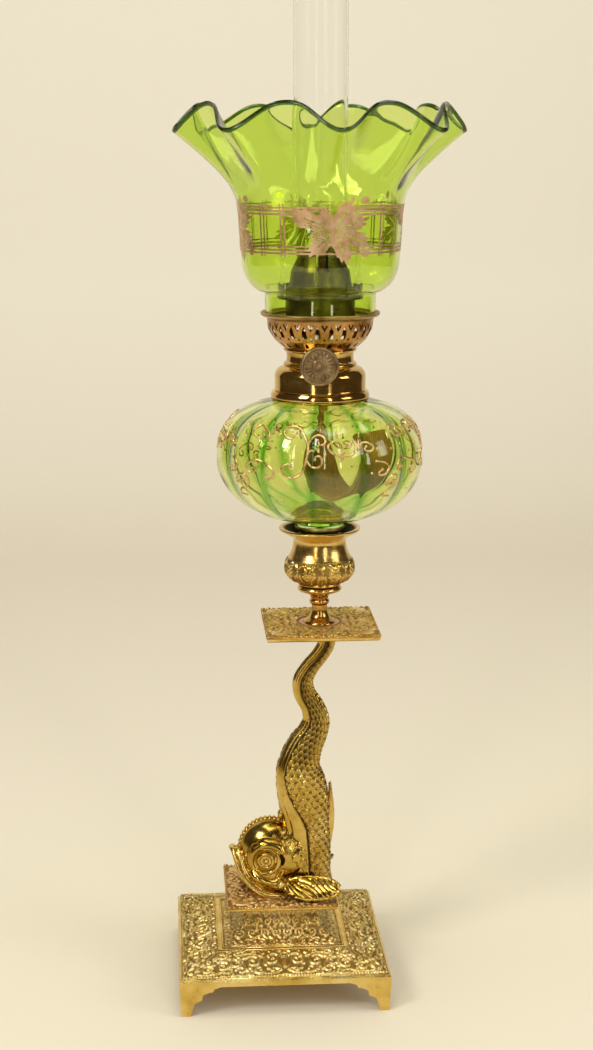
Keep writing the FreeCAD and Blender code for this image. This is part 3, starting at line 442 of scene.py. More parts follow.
def reliefSquare(
        name, corners, strokes, depth, middle, body, material, step=0.55, replaced=(), sink=0.15):
    # four mitred sides; corners = (half, z) of the outer and the inner line, or more for a hollow side
    line = np.array(curveThrough(corners, 10) if len(corners) > 2 else corners, float)
    runs = np.concatenate([[0], np.cumsum(np.hypot(*np.diff(line, axis=0).T))])
    width, wide = runs[-1], line[:, 0].max()
    across, along = int(width / step) + 1, int(2 * wide / step) + 1
    bm = bmesh.new()
    bmesh.ops.create_grid(bm, x_segments=along, y_segments=across, size=1)
    spots = np.array([v.co[:2] for v in bm.verts])
    v = (spots[:, 1] + 1) / 2 * width
    half = np.interp(v, runs, line[:, 0])
    level = np.interp(v, runs, line[:, 1])
    slope = np.arctan2(np.interp(v + 0.4, runs, line[:, 1]) - np.interp(v - 0.4, runs, line[:, 1]),
                       np.interp(v - 0.4, runs, line[:, 0]) - np.interp(v + 0.4, runs, line[:, 0]))
    u = spots[:, 0] * half
    height = reliefHeight(u, v, strokes)
    edge = np.clip(np.minimum(v, width - v) / 0.7, 0, 1) * np.clip((half - np.abs(u)) / 0.6 + 0.35, 0, 1)
    height = height * edge
    lift = (height * depth - sink * (1 - edge)) + 0.05
    reach = half + lift * np.sin(slope)
    level = level + lift * np.cos(slope)
    for vert, x, y, z in zip(bm.verts, u, reach, level):
        vert.co = (x * mm, -y * mm, z * mm)
    source = meshFrom(bm, "side")
    bm = bmesh.new()
    for k in range(4):
        side = bmesh.new()
        side.from_mesh(source)
        bmesh.ops.rotate(
            side, verts=side.verts, cent=(0, 0, 0), matrix=Matrix.Rotation(k * math.pi / 2, 3, "Z"))
        mergeInto(bm, side)
    bpy.data.meshes.remove(source)
    bmesh.ops.translate(bm, verts=bm.verts, vec=Vector(middle) * mm)
    smoothFaces(bm)
    bm.normal_update()
    if sum(face.normal.z for face in bm.faces) < 0:
        bmesh.ops.reverse_faces(bm, faces=bm.faces)
    mesh = meshFrom(bm, name)
    # low relief between the strokes takes the dark hollow tone: patina and painted shade in the hollows
    storeRelief(mesh, np.tile(np.maximum(height, 1 - edge), 4))
    return placePiece(mesh, name, body, material, replaced)


# ---------------------------------------------------------------- base

def nodeMiddle(node):
    low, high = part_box(node)
    return [(low[i] + high[i]) / 2 / mm for i in range(3)]


baseX = nodeMiddle("base_foot")[0]
base = {
    "skirt": [(63.4, 24.0), (40.5, 31.3)],
    "panel": [(36.8, 31.2), (29.6, 34.5), (24.8, 40.0), (21.8, 47.0), (20.6, 53.6)],
    "depth": 1.25, "panelDepth": 1.0,
}


def skirtStrokes():
    strokes = [spiral(7.5, 15.0, 5.6, 1.2, 2.4, -1, 1.25), spiral(19.5, 13.5, 5.4, 1.3, 0.6, 1, 1.2),
               spiral(15.5, 6.6, 3.6, 1.1, 3.8, 1, 1.0), spiral(29.0, 12.6, 4.9, 1.2, 2.2, -1, 1.1),
               spiral(27.0, 5.8, 3.4, 1.1, 0.2, 1, 0.9), spiral(38.0, 10.0, 4.6, 1.3, 0.9, 1, 1.1),
               spiral(47.5, 7.0, 3.8, 1.2, 2.6, -1, 1.0)]
    strokes += [stem([(0, 21), (3.6, 18.4), (4.4, 12), (2.2, 7), (6, 3.6), (12, 3.2)], 1.0),
                stem([(12, 21), (15.5, 19.5), (22, 20.5), (30, 18.6)], 0.9),
                stem([(24, 9), (26, 14), (33, 16), (37, 15)], 0.9),
                stem([(34, 4), (40, 4.4), (45, 2.8), (54, 3.2)], 0.9)]
    for x, y, angle, length, fat in (
            (0.0, 8.5, 1.57, 7.5, 2.0), (1.4, 8.0, 0.9, 5.6, 1.4), (1.8, 6.4, 0.25, 5.2, 1.3),
            (10.5, 20.5, 4.4, 4.4, 1.2), (11.2, 10.2, 1.2, 4.2, 1.3), (13.2, 17.6, 0.4, 4.2, 1.2),
            (22.6, 5.0, 1.1, 4.4, 1.3), (24.4, 17.6, 5.6, 4.6, 1.3), (33.4, 8.4, 1.9, 4.4, 1.2),
            (34.6, 13.0, 0.2, 4.6, 1.2), (42.6, 12.0, 5.7, 4.8, 1.2), (43.0, 4.2, 0.9, 4.0, 1.1),
            (52.0, 9.0, 5.4, 5.4, 1.4), (49.0, 12.6, 5.6, 4.0, 1.2), (56.2, 3.6, 0.5, 4.2, 1.1)):
        strokes.append(leafStroke(x, y, angle, length, fat))
    filled(strokes, 62.0, 24.0, 2.5, 2.3, 5)
    for k in range(34):
        strokes.append(np.array([[1.0 + 1.85 * k, 1.2, 0.75]]))
    return mirrored(strokes)


def panelStrokes():
    strokes = []
    for k in range(4):
        x = 4.4 + 8.6 * k
        strokes += [spiral(x, 4.4, 3.0, 1.25, 0.4 + k, 1 if k % 2 else -1, 0.8),
                    spiral(x * 0.86, 11.6, 2.8, 1.2, 2.6 + k, -1 if k % 2 else 1, 0.75),
                    spiral(x * 0.7, 18.6, 2.5, 1.2, 1.2 + k, 1 if k % 2 else -1, 0.7),
                    leafStroke(x - 3.4, 7.4, 0.9, 4.2, 1.0), leafStroke(x * 0.86 - 2.6, 14.8, 1.9, 3.8, 0.9),
                    leafStroke(x * 0.7 - 2.0, 22.4, 1.2, 3.4, 0.8)]
    filled(strokes, 36.0, 26.0, 2.1, 1.9, 8)
    for k in range(8):
        strokes.append(taperStroke(2.1 + 4.2 * k, 0.6, 1.57, 4.4, 1.3))
    return mirrored(strokes)


reliefSquare(
    "skirtRelief", base["skirt"], skirtStrokes(), base["depth"], (baseX, 0, 0), "candlestick",
    metals["reliefBrass"])
reliefSquare(
    "panelRelief", base["panel"], panelStrokes(), base["panelDepth"], (baseX, 0, 0), "candlestick",
    metals["reliefBrass"])
trim = squareRod(62.9, 23.5, baseX, 0.85)
for half, level, thick in ((40.3, 31.45, 0.8), (37.3, 31.6, 0.95)):
    mergeInto(trim, squareRod(half, level, baseX, thick))
finishPiece(trim, "baseMouldings", "candlestick", metals["castBrass"], sharp=80)
print("base relief made")


# ---------------------------------------------------------------- plates

plates = {
    "edge": 34.25, "topDepth": 0.9, "bareRadius": 14.6,
    "plinth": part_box("plinth_plate")[1][2] / mm, "drip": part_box("drip_plate")[1][2] / mm,
}


def plateStrokes(seed):
    # a smooth disc in the middle, foliage round it, a leaf at each corner and a beaded edge
    edge, bare = plates["edge"] - 0.4, plates["bareRadius"]
    strokes = [
        spiral(8.4, 9.4, 4.4, 1.3, 2.4, -1, 1.1), spiral(19.0, 8.4, 4.4, 1.3, 0.5, 1, 1.1),
        spiral(12.8, 3.6, 2.4, 1.1, 1.2, 1, 0.8)]
    strokes += [
        leafStroke(0, 3.0, 1.57, 9.6, 2.0), leafStroke(0.8, 5.0, 0.8, 6.4, 1.4),
        leafStroke(28.0, 3.6, 2.5, 9.4, 1.8), leafStroke(28.5, 3.2, 1.9, 7.4, 1.4),
        leafStroke(28.0, 3.4, 3.0, 8.0, 1.4)]
    filled(strokes, 33.0, 33.0, 2.9, 2.8, seed, lambda x, y: math.hypot(x, edge - y) < bare + 1.2)
    ring = [(bare * math.sin(a), edge - bare * math.cos(a), 0.5) for a in np.linspace(0, math.pi / 4, 24)]
    return mirrored(strokes + [np.array(ring)])


def plateRelief(name, place, middle):
    edge, top = plates["edge"], plates[place]
    reliefSquare(name + "Relief", [(edge - 0.4, top), (1.0, top)], plateStrokes(len(place)), plates["topDepth"],
                 middle, "candlestick", metals["plateBrass"], step=0.42)
    # a rope of beads and a moulding along the edge
    bm = squareRod(edge - 0.3, top - 0.9, middle[0], 0.75)
    chance = random.Random(len(name))
    for k in range(4):
        turn = Matrix.Rotation(k * math.pi / 2, 4, "Z")
        for j in range(-10, 11):
            size = chance.uniform(0.8, 1.3)
            bead = blob(
                Vector((j * 3.3, -edge + 0.3, top - 0.4)) * mm, Vector((1.45 * size, 1.0, 1.05 * size)) * mm,
                segments=10)
            bmesh.ops.transform(
                bead, matrix=Matrix.Translation(Vector((middle[0], 0, 0)) * mm) @ turn, verts=bead.verts)
            mergeInto(bm, bead)
    finishPiece(bm, name + "Edge", "candlestick", metals["stemBrass"], sharp=80)


plateRelief("plinth", "plinth", (baseX, 0, 0))
plateRelief("drip", "drip", (0, 0, 0))
dripTop = plates["drip"]
turnedPiece(
    "dripSeat",
    [
        [(0.5, 0.02), (12.6, 0.02)], [(12.6, 0.02), (12.7, 0.3), (12.3, 0.5)], [(12.3, 0.5), (9.9, 0.55)],
        [(9.9, 0.55), (9.9, 0.1)], [(9.9, 0.1), (0.5, 0.1)]],
    "candlestick", metals["redBrass"], lift=dripTop)
print("plates made")


# ---------------------------------------------------------------- dolphin

dolphin = {
    "path": [
        (-9.0, 57.0, 14.5), (-8.5, 70.0, 15.4), (-8.5, 84.0, 15.2), (-9.0, 98.0, 14.6), (-9.4, 110.0, 15.2),
        (-11.0, 122.0, 15.4), (-12.8, 133.0, 14.0), (-12.2, 141.0, 12.2), (-9.0, 150.0, 10.8),
        (-4.2, 159.0, 9.2), (-2.0, 167.0, 8.2), (-4.2, 176.0, 7.1), (-9.0, 184.5, 6.6), (-10.0, 193.0, 6.2),
        (-6.0, 201.0, 5.5), (0.0, 208.5, 5.2), (4.3, 216.0, 5.3), (4.0, 222.0, 5.8), (0.8, 227.0, 6.8)],
    "around": 200, "along": 640, "scaleCount": 20, "scalePitch": 3.7, "scaleHigh": 1.6, "dorsal": 1.6,
    "band": [
        (0, 0.26), (42, 0.24), (47, 0.22), (55, 0.18), (66, 0.135), (77, 0.115), (100, 0.12), (150, 0.2),
        (190, 0.3)],
}


def bodyLine():
    line = np.array(curveThrough([(x, z, r) for x, z, r in dolphin["path"]], 24))
    run = np.concatenate([[0], np.cumsum(np.hypot(np.diff(line[:, 0]), np.diff(line[:, 1])))])
    return line, run


def bodyScales(u, v):
    # u round the body in turns, v along it in millimetres; the free round ends point to the tail
    count, pitch = dolphin["scaleCount"], dolphin["scalePitch"]
    height = np.zeros(len(u))
    found = np.zeros(len(u), bool)
    base = np.floor(v / pitch)
    for shift in (-2, -1, 0, 1):
        row = base + shift
        half = 0.5 * (row % 2)
        column = np.round(u * count - half) + half
        dx = (u * count - column) * 2 * 0.98
        edge = (row + 0.25 + 0.95 * np.sqrt(np.clip(1 - dx ** 2, 0, 1))) * pitch
        here = ~found & (v < edge)
        height[here] = np.clip(1 - (edge[here] - v[here]) / (1.7 * pitch), 0, 1) ** 1.6
        found |= here
    return height


def makeDolphinBody():
    line, run = bodyLine()
    bm = bmesh.new()
    bmesh.ops.create_grid(bm, x_segments=dolphin["around"], y_segments=dolphin["along"], size=1)
    spots = np.array([v.co[:2] for v in bm.verts])
    u = (spots[:, 0] + 1) / 2
    v = (spots[:, 1] + 1) / 2 * run[-1]
    x, z, r = (np.interp(v, run, line[:, k]) for k in range(3))
    ax = np.interp(v + 0.5, run, line[:, 0]) - np.interp(v - 0.5, run, line[:, 0])
    az = np.interp(v + 0.5, run, line[:, 1]) - np.interp(v - 0.5, run, line[:, 1])
    size = np.hypot(ax, az)
    ax, az = ax / size, az / size
    twist = np.interp(v, [0, 60, 100, 150, run[-1]], [0, 0, 0.02, 0.16, 0.42])
    around = (u - twist) % 1.0
    scales = bodyScales(around, v)
    # a smooth dorsal band that winds from the brow to the back
    share = np.interp(v, *zip(*dolphin["band"]))
    gap = np.abs((u - share / 2 + 0.5) % 1.0 - 0.5) * 2 * math.pi * r
    half = share * math.pi * r
    band = np.clip(1 - gap / half, 0, 1)
    lip = np.exp(-((gap - half) / 0.6) ** 2)
    streaks = 0.28 * np.cos(5 * math.pi * gap / half) * (gap < half)
    # painted dark reflection down the front of the tail, the term named shadow
    shadow = np.exp(-((u - 0.25) / 0.11) ** 2) * np.clip((v - 70) / 16, 0, 1)
    groove = np.exp(-((gap - half - 1.5) / 0.7) ** 2)
    scales = scales * np.clip((gap - half - 0.8) / 0.8, 0, 1)
    flat = np.clip((v - 4) / 8, 0, 1)
    fade = np.interp(v, [0, 40, run[-1] - 14, run[-1]], [0.7, 1.0, 0.8, 0.2])
    lift = (dolphin["scaleHigh"] * scales * fade * np.clip(r / 12, 0.45, 1)
            + dolphin["dorsal"] * band ** 0.8 * flat * np.clip(r / 12, 0.5, 1)
            + 0.8 * lip * flat - 0.6 * groove + streaks * flat)
    reach = r + lift - 0.5
    angle = u * 2 * math.pi
    side = -np.cos(angle)
    for vert, cx, cz, px, pz, rr, s, a in zip(bm.verts, x, z, az, -ax, reach, side, angle):
        vert.co = ((cx + px * rr * s) * mm, -rr * math.sin(a) * mm, (cz + pz * rr * s) * mm)
    smoothFaces(bm)
    bm.normal_update()
    middle = sum((
        face.normal.dot(face.calc_center_median() - Vector((-0.009, 0, face.calc_center_median().z)))
        for face in list(bm.faces)[:3000]))
    if middle < 0:
        bmesh.ops.reverse_faces(bm, faces=bm.faces)
    mesh = meshFrom(bm, "dolphinBody")
    # scale tops, dorsal band and lip stay light; the hollows between scales and the groove take the dark hollow
    # tone as painted shade and patina, and the tail front is darkened as a painted reflection
    shine = np.clip(scales * 0.9 + band * 3 + lip + 0.1 - groove, 0, 1)
    storeRelief(mesh, shine * (1 - shadow) + 0.5 * shadow * scales ** 3)
    bm = bmesh.new()
    bm.from_mesh(mesh)
    bmesh.ops.remove_doubles(bm, verts=bm.verts, dist=2e-6)
    bm.to_mesh(mesh)
    bm.free()
    return placePiece(mesh, "dolphinBody", "candlestick", metals["shadedScaleBrass"], ("dolphin",))


head = {
    "eye": (-34.7, 79.8), "left": -55.5, "right": -1.5, "low": 57.4, "high": 105.0, "step": 0.3,
    "forms": [
        (-31.5, 82.0, 19.2, 20.6, 16.0), (-19.0, 79.0, 17.0, 22.0, 16.4), (-37.0, 66.5, 15.5, 9.5, 16.4),
        (-24.0, 62.5, 18.0, 6.6, 18.0)],
    "roll": [
        (10.4, 6.6, 2.4), (8.0, 9.4, 3.0), (3.6, 11.0, 3.2), (-1.6, 10.9, 3.0), (-6.6, 7.6, 2.6),
        (-9.6, 2.4, 2.6), (-9.9, -3.6, 2.8), (-7.2, -9.2, 2.8), (-2.0, -12.8, 2.6), (4.2, -13.8, 2.2),
        (9.0, -11.6, 1.6), (10.6, -7.6, 1.0)],
    "inner": [
        (7.4, 5.6, 1.2), (8.4, 1.2, 1.5), (7.4, -4.0, 1.6), (3.6, -7.6, 1.6), (-1.2, -8.4, 1.3),
        (-5.2, -6.4, 0.9)],
    "slots": [
        [(-8.8, 6.6, 0.8), (-7.0, 9.2, 1.2), (-4.4, 10.9, 0.8)],
        [(9.6, 3.6, 0.9), (10.8, 0.8, 1.3), (10.2, -2.4, 0.9)]],
    "lobes": [
        ((16.4, 15.6), (30.6, 4.0), 5, 3.6, 1.6), ((12.8, 12.4), (27.0, 0.6), 5, 3.5, 2.3),
        ((19.6, 2.0), (26.0, -5.6), 3, 3.4, 2.9)],
    "beads": 17,}


def headDepth(x, z):
    total = np.zeros(len(x))
    for cx, cz, rx, rz, depth in head["forms"]:
        inside = np.clip(1 - ((x - cx) / rx) ** 2 - ((z - cz) / rz) ** 2, 0, 1)
        total += (depth * np.sqrt(inside)) ** 6
    return total ** (1 / 6)


def denseStroke(points):
    return np.array(curveThrough(points, 12))


def headFeatures(dx, dz):
    # lift of the roll, the eye, the slots and the gill lobes, in millimetres from the eye's middle
    r = np.hypot(dx, dz)
    lift = 2.7 * reliefHeight(dx, dz, [denseStroke(head["roll"])])
    lift = np.maximum(lift, 1.7 * reliefHeight(dx, dz, [denseStroke(head["inner"])]))
    eye = np.where(
        r < 1.9, 2.6 * np.sqrt(np.clip(1 - (r / 1.9) ** 2, 0, 1)), 0.3) + 1.3 * np.exp(-((r - 4.5) / 0.9) ** 4)
    lift = np.where(r < 6.2, np.maximum(eye, 0), lift)
    lift -= 0.9 * np.exp(-((r - 6.4) / 0.6) ** 2) * (dx < 6)
    lift -= 2.6 * reliefHeight(dx, dz, [denseStroke(slot) for slot in head["slots"]])
    for start, end, count, radius, high in head["lobes"]:
        for k in range(count):
            t = k / (count - 1)
            gap = np.hypot(dx - start[0] - t * (end[0] - start[0]), dz - start[1] - t * (end[1] - start[1]))
            plate = high * np.clip(
                (1 - gap / radius) * 5, 0, 1) ** 0.5 + 0.35 * np.exp(-((gap - radius * 0.8) / 0.5) ** 2)
            lift = np.where(gap < radius, np.maximum(lift, plate), lift)
    return lift


def makeDolphinHead():
    wide, tall = head["right"] - head["left"], head["high"] - head["low"]
    whole = bmesh.new()
    reliefs = []
    for side in (-1, 1):
        bm = bmesh.new()
        bmesh.ops.create_grid(
            bm, x_segments=int(wide / head["step"]), y_segments=int(tall / head["step"]), size=1)
        spots = np.array([v.co[:2] for v in bm.verts])
        x = head["left"] + (spots[:, 0] + 1) / 2 * wide
        z = head["low"] + (spots[:, 1] + 1) / 2 * tall
        depth = headDepth(x, z)
        lift = headFeatures(x - head["eye"][0], z - head["eye"][1])
        y = np.where(depth > 0, depth + lift * np.clip(depth / 6, 0, 1), 0)
        for vert, vx, vy, vz in zip(bm.verts, x, y, z):
            vert.co = Vector((vx, side * max(vy, 0), vz)) * mm
        bm.verts.ensure_lookup_table()
        gone = [
            vert for vert, d in zip(bm.verts, depth)
            if d <= 0 and all(depth[edge.other_vert(vert).index] <= 0 for edge in vert.link_edges)]
        keep = np.ones(len(x), bool)
        keep[[vert.index for vert in gone]] = False
        bmesh.ops.delete(bm, geom=gone, context="VERTS")
        if side < 0:
            bmesh.ops.reverse_faces(bm, faces=bm.faces)
        # slots and grooves sit low in this value, so the dark hollow tone paints shade into them
        reliefs.append(np.clip(0.55 + lift / 3.0, 0, 1)[keep])
        mergeInto(whole, bm)
    smoothFaces(whole)
    whole.normal_update()
    if sum(face.normal.y * face.calc_center_median().y for face in whole.faces) < 0:
        bmesh.ops.reverse_faces(whole, faces=whole.faces)
    mesh = meshFrom(whole, "dolphinHead")
    storeRelief(mesh, np.concatenate(reliefs))
    placePiece(mesh, "dolphinHead", "candlestick", metals["shadedScaleBrass"])


def lipLine(side, scale, drop):
    line = [
        (-56.0, 0.0, 83.5), (-54.4, 5.2, 82.0), (-51.0, 11.5, 72.5), (-45.0, 17.0, 64.6), (-36.5, 20.4, 59.2),
        (-27.0, 21.4, 58.0)]
    points = curveThrough([(x + drop, side * y * scale, z - drop * 0.6) for x, y, z in line], 8)
    return [Vector(p) * mm for p in points]


def makeLips():
    bm = bmesh.new()
    for side in (-1, 1):
        for scale, drop, thick in (
                (1.0, 0.0, 1.5), (0.96, 3.2, 1.2), (0.9, 6.2, 1.7), (0.8, 3.6, 3.0), (0.7, 5.0, 3.6)):
            line = lipLine(side, scale, drop)
            mergeInto(bm, rodsAlong([(line, [thick * mm] * len(line))], 12))
    for k in range(head["beads"]):
        cx, cz, rx, rz = head["forms"][0][:4]
        angle = math.radians(40 + 132 * k / (head["beads"] - 1))
        mergeInto(
            bm,
            blob(
                Vector((cx + rx * math.cos(angle), 0, cz + rz * math.sin(angle))) * mm,
                Vector((1.5, 2.6, 1.5)) * mm))
    mergeInto(bm, blob(Vector((-23.4, 0, 105.2)) * mm, Vector((3.0, 3.2, 3.4)) * mm))
    for side in (-1, 1):
        mergeInto(bm, blob(Vector((-25.2, side * 20.4, 65.4)) * mm, Vector((2.3, 2.3, 2.3)) * mm))
    return finishPiece(bm, "dolphinLips", "candlestick", metals["castBrass"], sharp=80)


fin = {
    "start": -23.2, "long": 34.0, "half": 8.6, "level": 62.9, "thick": 1.6,
    "outline": [
        (0.0, 17.3, 0.42), (0.12, 20.6, 0.68), (0.3, 23.3, 0.94), (0.55, 24.0, 1.0), (0.8, 24.7, 0.86),
        (0.93, 25.6, 0.56), (1.0, 26.2, 0.2)]}


def makeFins():
    whole = bmesh.new()
    reliefs = []
    line = np.array(curveThrough(fin["outline"], 10))
    for side in (-1, 1):
        bm = bmesh.new()
        bmesh.ops.create_grid(bm, x_segments=110, y_segments=52, size=1)
        spots = np.array([v.co[:2] for v in bm.verts])
        s, t = (spots[:, 0] + 1) / 2, spots[:, 1]
        out = np.interp(s, line[:, 0], line[:, 1])
        half = fin["half"] * np.interp(s, line[:, 0], line[:, 2])
        rim = np.exp(-((1 - np.abs(t)) / 0.13) ** 2) + np.exp(-((1 - s) / 0.04) ** 2)
        phase = 7.5 * s - 1.9 * t + 0.35 * np.sin(9 * s)
        ribs = (0.5 + 0.5 * np.cos(2 * math.pi * phase)) ** 1.4 * np.clip(1 - np.abs(t) ** 5, 0, 1)
        shaft = np.exp(-((t + 0.15) / 0.1) ** 2) * np.clip(1 - s, 0, 1)
        lift = 1.3 * np.clip(rim, 0, 1) + 0.9 * ribs + 0.5 * shaft + 1.4 * (1 - t ** 2)
        x = fin["start"] + fin["long"] * s
        y = out + half * t * 0.788 + lift * 0.616
        z = fin["level"] - half * t * 0.616 + lift * 0.788
        for vert, vx, vy, vz in zip(bm.verts, x, y, z):
            vert.co = Vector((vx, side * vy, vz)) * mm
        bmesh.ops.recalc_face_normals(bm, faces=bm.faces)
        bmesh.ops.solidify(bm, geom=bm.faces[:], thickness=fin["thick"] * mm)
        # between the ribs the fin takes the dark hollow tone, painted shade under the rim and ribs, with the rim
        # left light
        relief = np.clip(0.15 + 0.8 * ribs + rim + shaft, 0, 1)
        reliefs.append(np.resize(relief, len(bm.verts)))
        mergeInto(whole, bm)
    smoothFaces(whole)
    mesh = meshFrom(whole, "sideFins")
    storeRelief(mesh, np.concatenate(reliefs))
    placePiece(mesh, "sideFins", "candlestick", metals["shadedScaleBrass"])


def makeBackLeaf():
    bm = bmesh.new()
    bmesh.ops.create_grid(bm, x_segments=14, y_segments=36, size=1)
    outline = [
        (4.4, 1.6, 76.0), (5.2, 3.2, 84.0), (6.0, 4.4, 94.0), (6.4, 4.6, 103.0), (6.8, 3.6, 111.0),
        (7.2, 2.0, 118.0), (7.0, 1.5, 123.0), (6.8, 1.1, 126.0)]
    line = np.array(curveThrough(outline, 12))
    run = np.linspace(0, 1, len(line))
    for vert in bm.verts:
        s, t = (vert.co.y + 1) / 2, vert.co.x
        x, half, z = (np.interp(s, run, line[:, k]) for k in range(3))
        curl = 1.6 * (1 - abs(t)) + 0.4 * math.cos(14 * math.pi * (s - 0.3 * abs(t)))
        vert.co = Vector((x + half * t * 0.8, 0.5 + 2.4 * t - curl, z)) * mm
    bmesh.ops.solidify(bm, geom=bm.faces[:], thickness=1.6 * mm)
    return finishPiece(bm, "backLeaf", "candlestick", metals["castBrass"], sharp=60)


makeDolphinBody()
makeDolphinHead()
makeLips()
makeFins()
makeBackLeaf()
print("dolphin made")


# ---------------------------------------------------------------- socket

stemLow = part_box("socket_stem")[0][2] / mm
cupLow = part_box("candle_cup")[0][2] / mm
socket = {
    "stem": [
        [(0.5, 0), (9.8, 0)], [(9.8, 0), (9.9, 1.2), (9.2, 2.2)],
        [(9.2, 2.2), (6.4, 4.6), (5.0, 8.0), (4.8, 12.2)], [(4.8, 12.2), (5.9, 13.4), (6.1, 14.9), (5.2, 16.2)],
        [(5.2, 16.2), (6.6, 18.6), (10.4, 20.4), (13.2, 21.6)], [(13.2, 21.6), (13.6, 22.8), (12.8, 24.2)],
        [(12.8, 24.2), (0.5, 24.2)]],
    "cup": [
        [(1.5, 0), (12.4, 0)], [(12.4, 0), (13.4, 0.9), (13.2, 1.8)],
        [(13.2, 1.8), (17.6, 4.2), (20.6, 8.4), (20.8, 12.6), (19.6, 17.2)], [(19.6, 17.2), (19.0, 18.2)],
        [(19.0, 18.2), (17.2, 22.0), (16.2, 26.6), (16.6, 29.4), (19.4, 31.8), (23.8, 34.2), (24.8, 35.0)],
        [(24.8, 35.0), (25.1, 35.7), (24.7, 36.2)], [(24.7, 36.2), (21.0, 35.8)],
        [(21.0, 35.8), (17.6, 32.4), (15.2, 29.8)], [(15.2, 29.8), (11.3, 29.5)], [(11.3, 29.5), (11.3, 4.0)],
        [(11.3, 4.0), (1.5, 4.0)]],
    "leaves": 8, "leafDepth": 1.0,}


def makeStem():
    return turnedPiece(
        "socketStem", socket["stem"], "candlestick", metals["stemBrass"], ("socket_stem",),
        lift=stemLow)


def cupReliefStrokes(turn):
    # one leaf group of the belly in millimetres round and up: ribs below, a spray of leaves above
    strokes = [stem([(0, 0.6), (0.3, 6), (0, 13.4)], 0.8)]
    for k in range(4):
        strokes.append(leafStroke(0.5, 2.0 + 3.0 * k, 0.95, 6.4 - 0.7 * k, 1.0))
    strokes += [leafStroke(turn / 2, 1.0, 1.57, 10.5, 0.95), leafStroke(turn / 2 - 2.4, 0.8, 1.45, 7.0, 0.8),
                leafStroke(turn / 2 - 0.6, 11.2, 2.2, 3.4, 0.9), leafStroke(2.4, 12.4, 0.4, 3.2, 0.8)]
    return mirrored(strokes)


def makeCup():
    line = [
        (r, z + cupLow)
        for r, z in softLine(socket["cup"] + [[socket["cup"][-1][-1], socket["cup"][0][0]]], steps=14)]
    bm = spinLine(line, 264)
    bmesh.ops.remove_doubles(bm, verts=bm.verts, dist=2e-6)
    bmesh.ops.recalc_face_normals(bm, faces=bm.faces)
    spots = np.array([v.co[:] for v in bm.verts]) / mm
    radius, level = np.hypot(spots[:, 0], spots[:, 1]), spots[:, 2] - cupLow
    turn = 2 * math.pi * 20 / socket["leaves"]
    angle = np.arctan2(spots[:, 1], spots[:, 0])
    u = ((angle / (2 * math.pi) * socket["leaves"]) % 1.0 - 0.5) * turn
    belly = (level > 2.4) & (level < 17.4) & (radius > 12.6)
    height = np.zeros(len(u))
    height[belly] = reliefHeight(u[belly], level[belly] - 2.4, cupReliefStrokes(turn))
    for vert, h, r in zip(bm.verts, height, radius):
        if h > 0:
            grow = 1 + socket["leafDepth"] * h / r
            vert.co.x *= grow
            vert.co.y *= grow
    # the inside of the mouth gets the near-black hollow tone, a painted shadow in the cup; the hollows between
    # the belly leaves darken as patina and painted shade
    paintedMouthShadow = (level > 28.0) & (level < 35.9) & (radius < 22.6) & (radius < 16.0 + (level - 29.0) * 0.95)
    relief = np.where(belly, 0.25 + 0.75 * height, np.where(paintedMouthShadow, 0.0, 1.0))
    smoothFaces(bm)
    for edge in bm.edges:
        edge.smooth = edge.calc_face_angle(0) < math.radians(50)
    mesh = meshFrom(bm, "candleCup")
    storeRelief(mesh, relief)
    return placePiece(mesh, "candleCup", "candlestick", metals["cupBrass"], ("candle_cup",))


makeStem()
makeCup()
print("socket made")


# ---------------------------------------------------------------- font

font = {
    "foot": 292.4, "bottom": 296.6, "top": 369.4, "neckTop": 373.2, "lobes": 12, "crease": -99.2,
    "outer": [
        (15.9, 296.6), (24.0, 297.6), (36.0, 300.6), (48.0, 307.4), (57.0, 316.6), (62.0, 327.0), (63.0, 336.0),
        (61.6, 346.0), (56.6, 356.4), (48.0, 363.6), (37.0, 368.0), (26.0, 369.6)],
    "depth": 2.9, "creaseWide": 0.11,}


def lobeDepth(angle, level):
    # 0 on a crest, the full depth in a crease, none at the neck and foot
    turn = (math.degrees(angle) - font["crease"]) / (360 / font["lobes"])
    wave = abs(math.sin(math.pi * turn))
    fade = math.sin(math.pi * min(
        1, max(0, (level - font["bottom"] - 0.5) / (font["top"] - font["bottom"])))) ** 0.6
    wave = (math.sqrt(wave * wave + 0.02) - 0.1414) / 0.8686
    return font["depth"] * (1 - wave ** 0.8) * fade


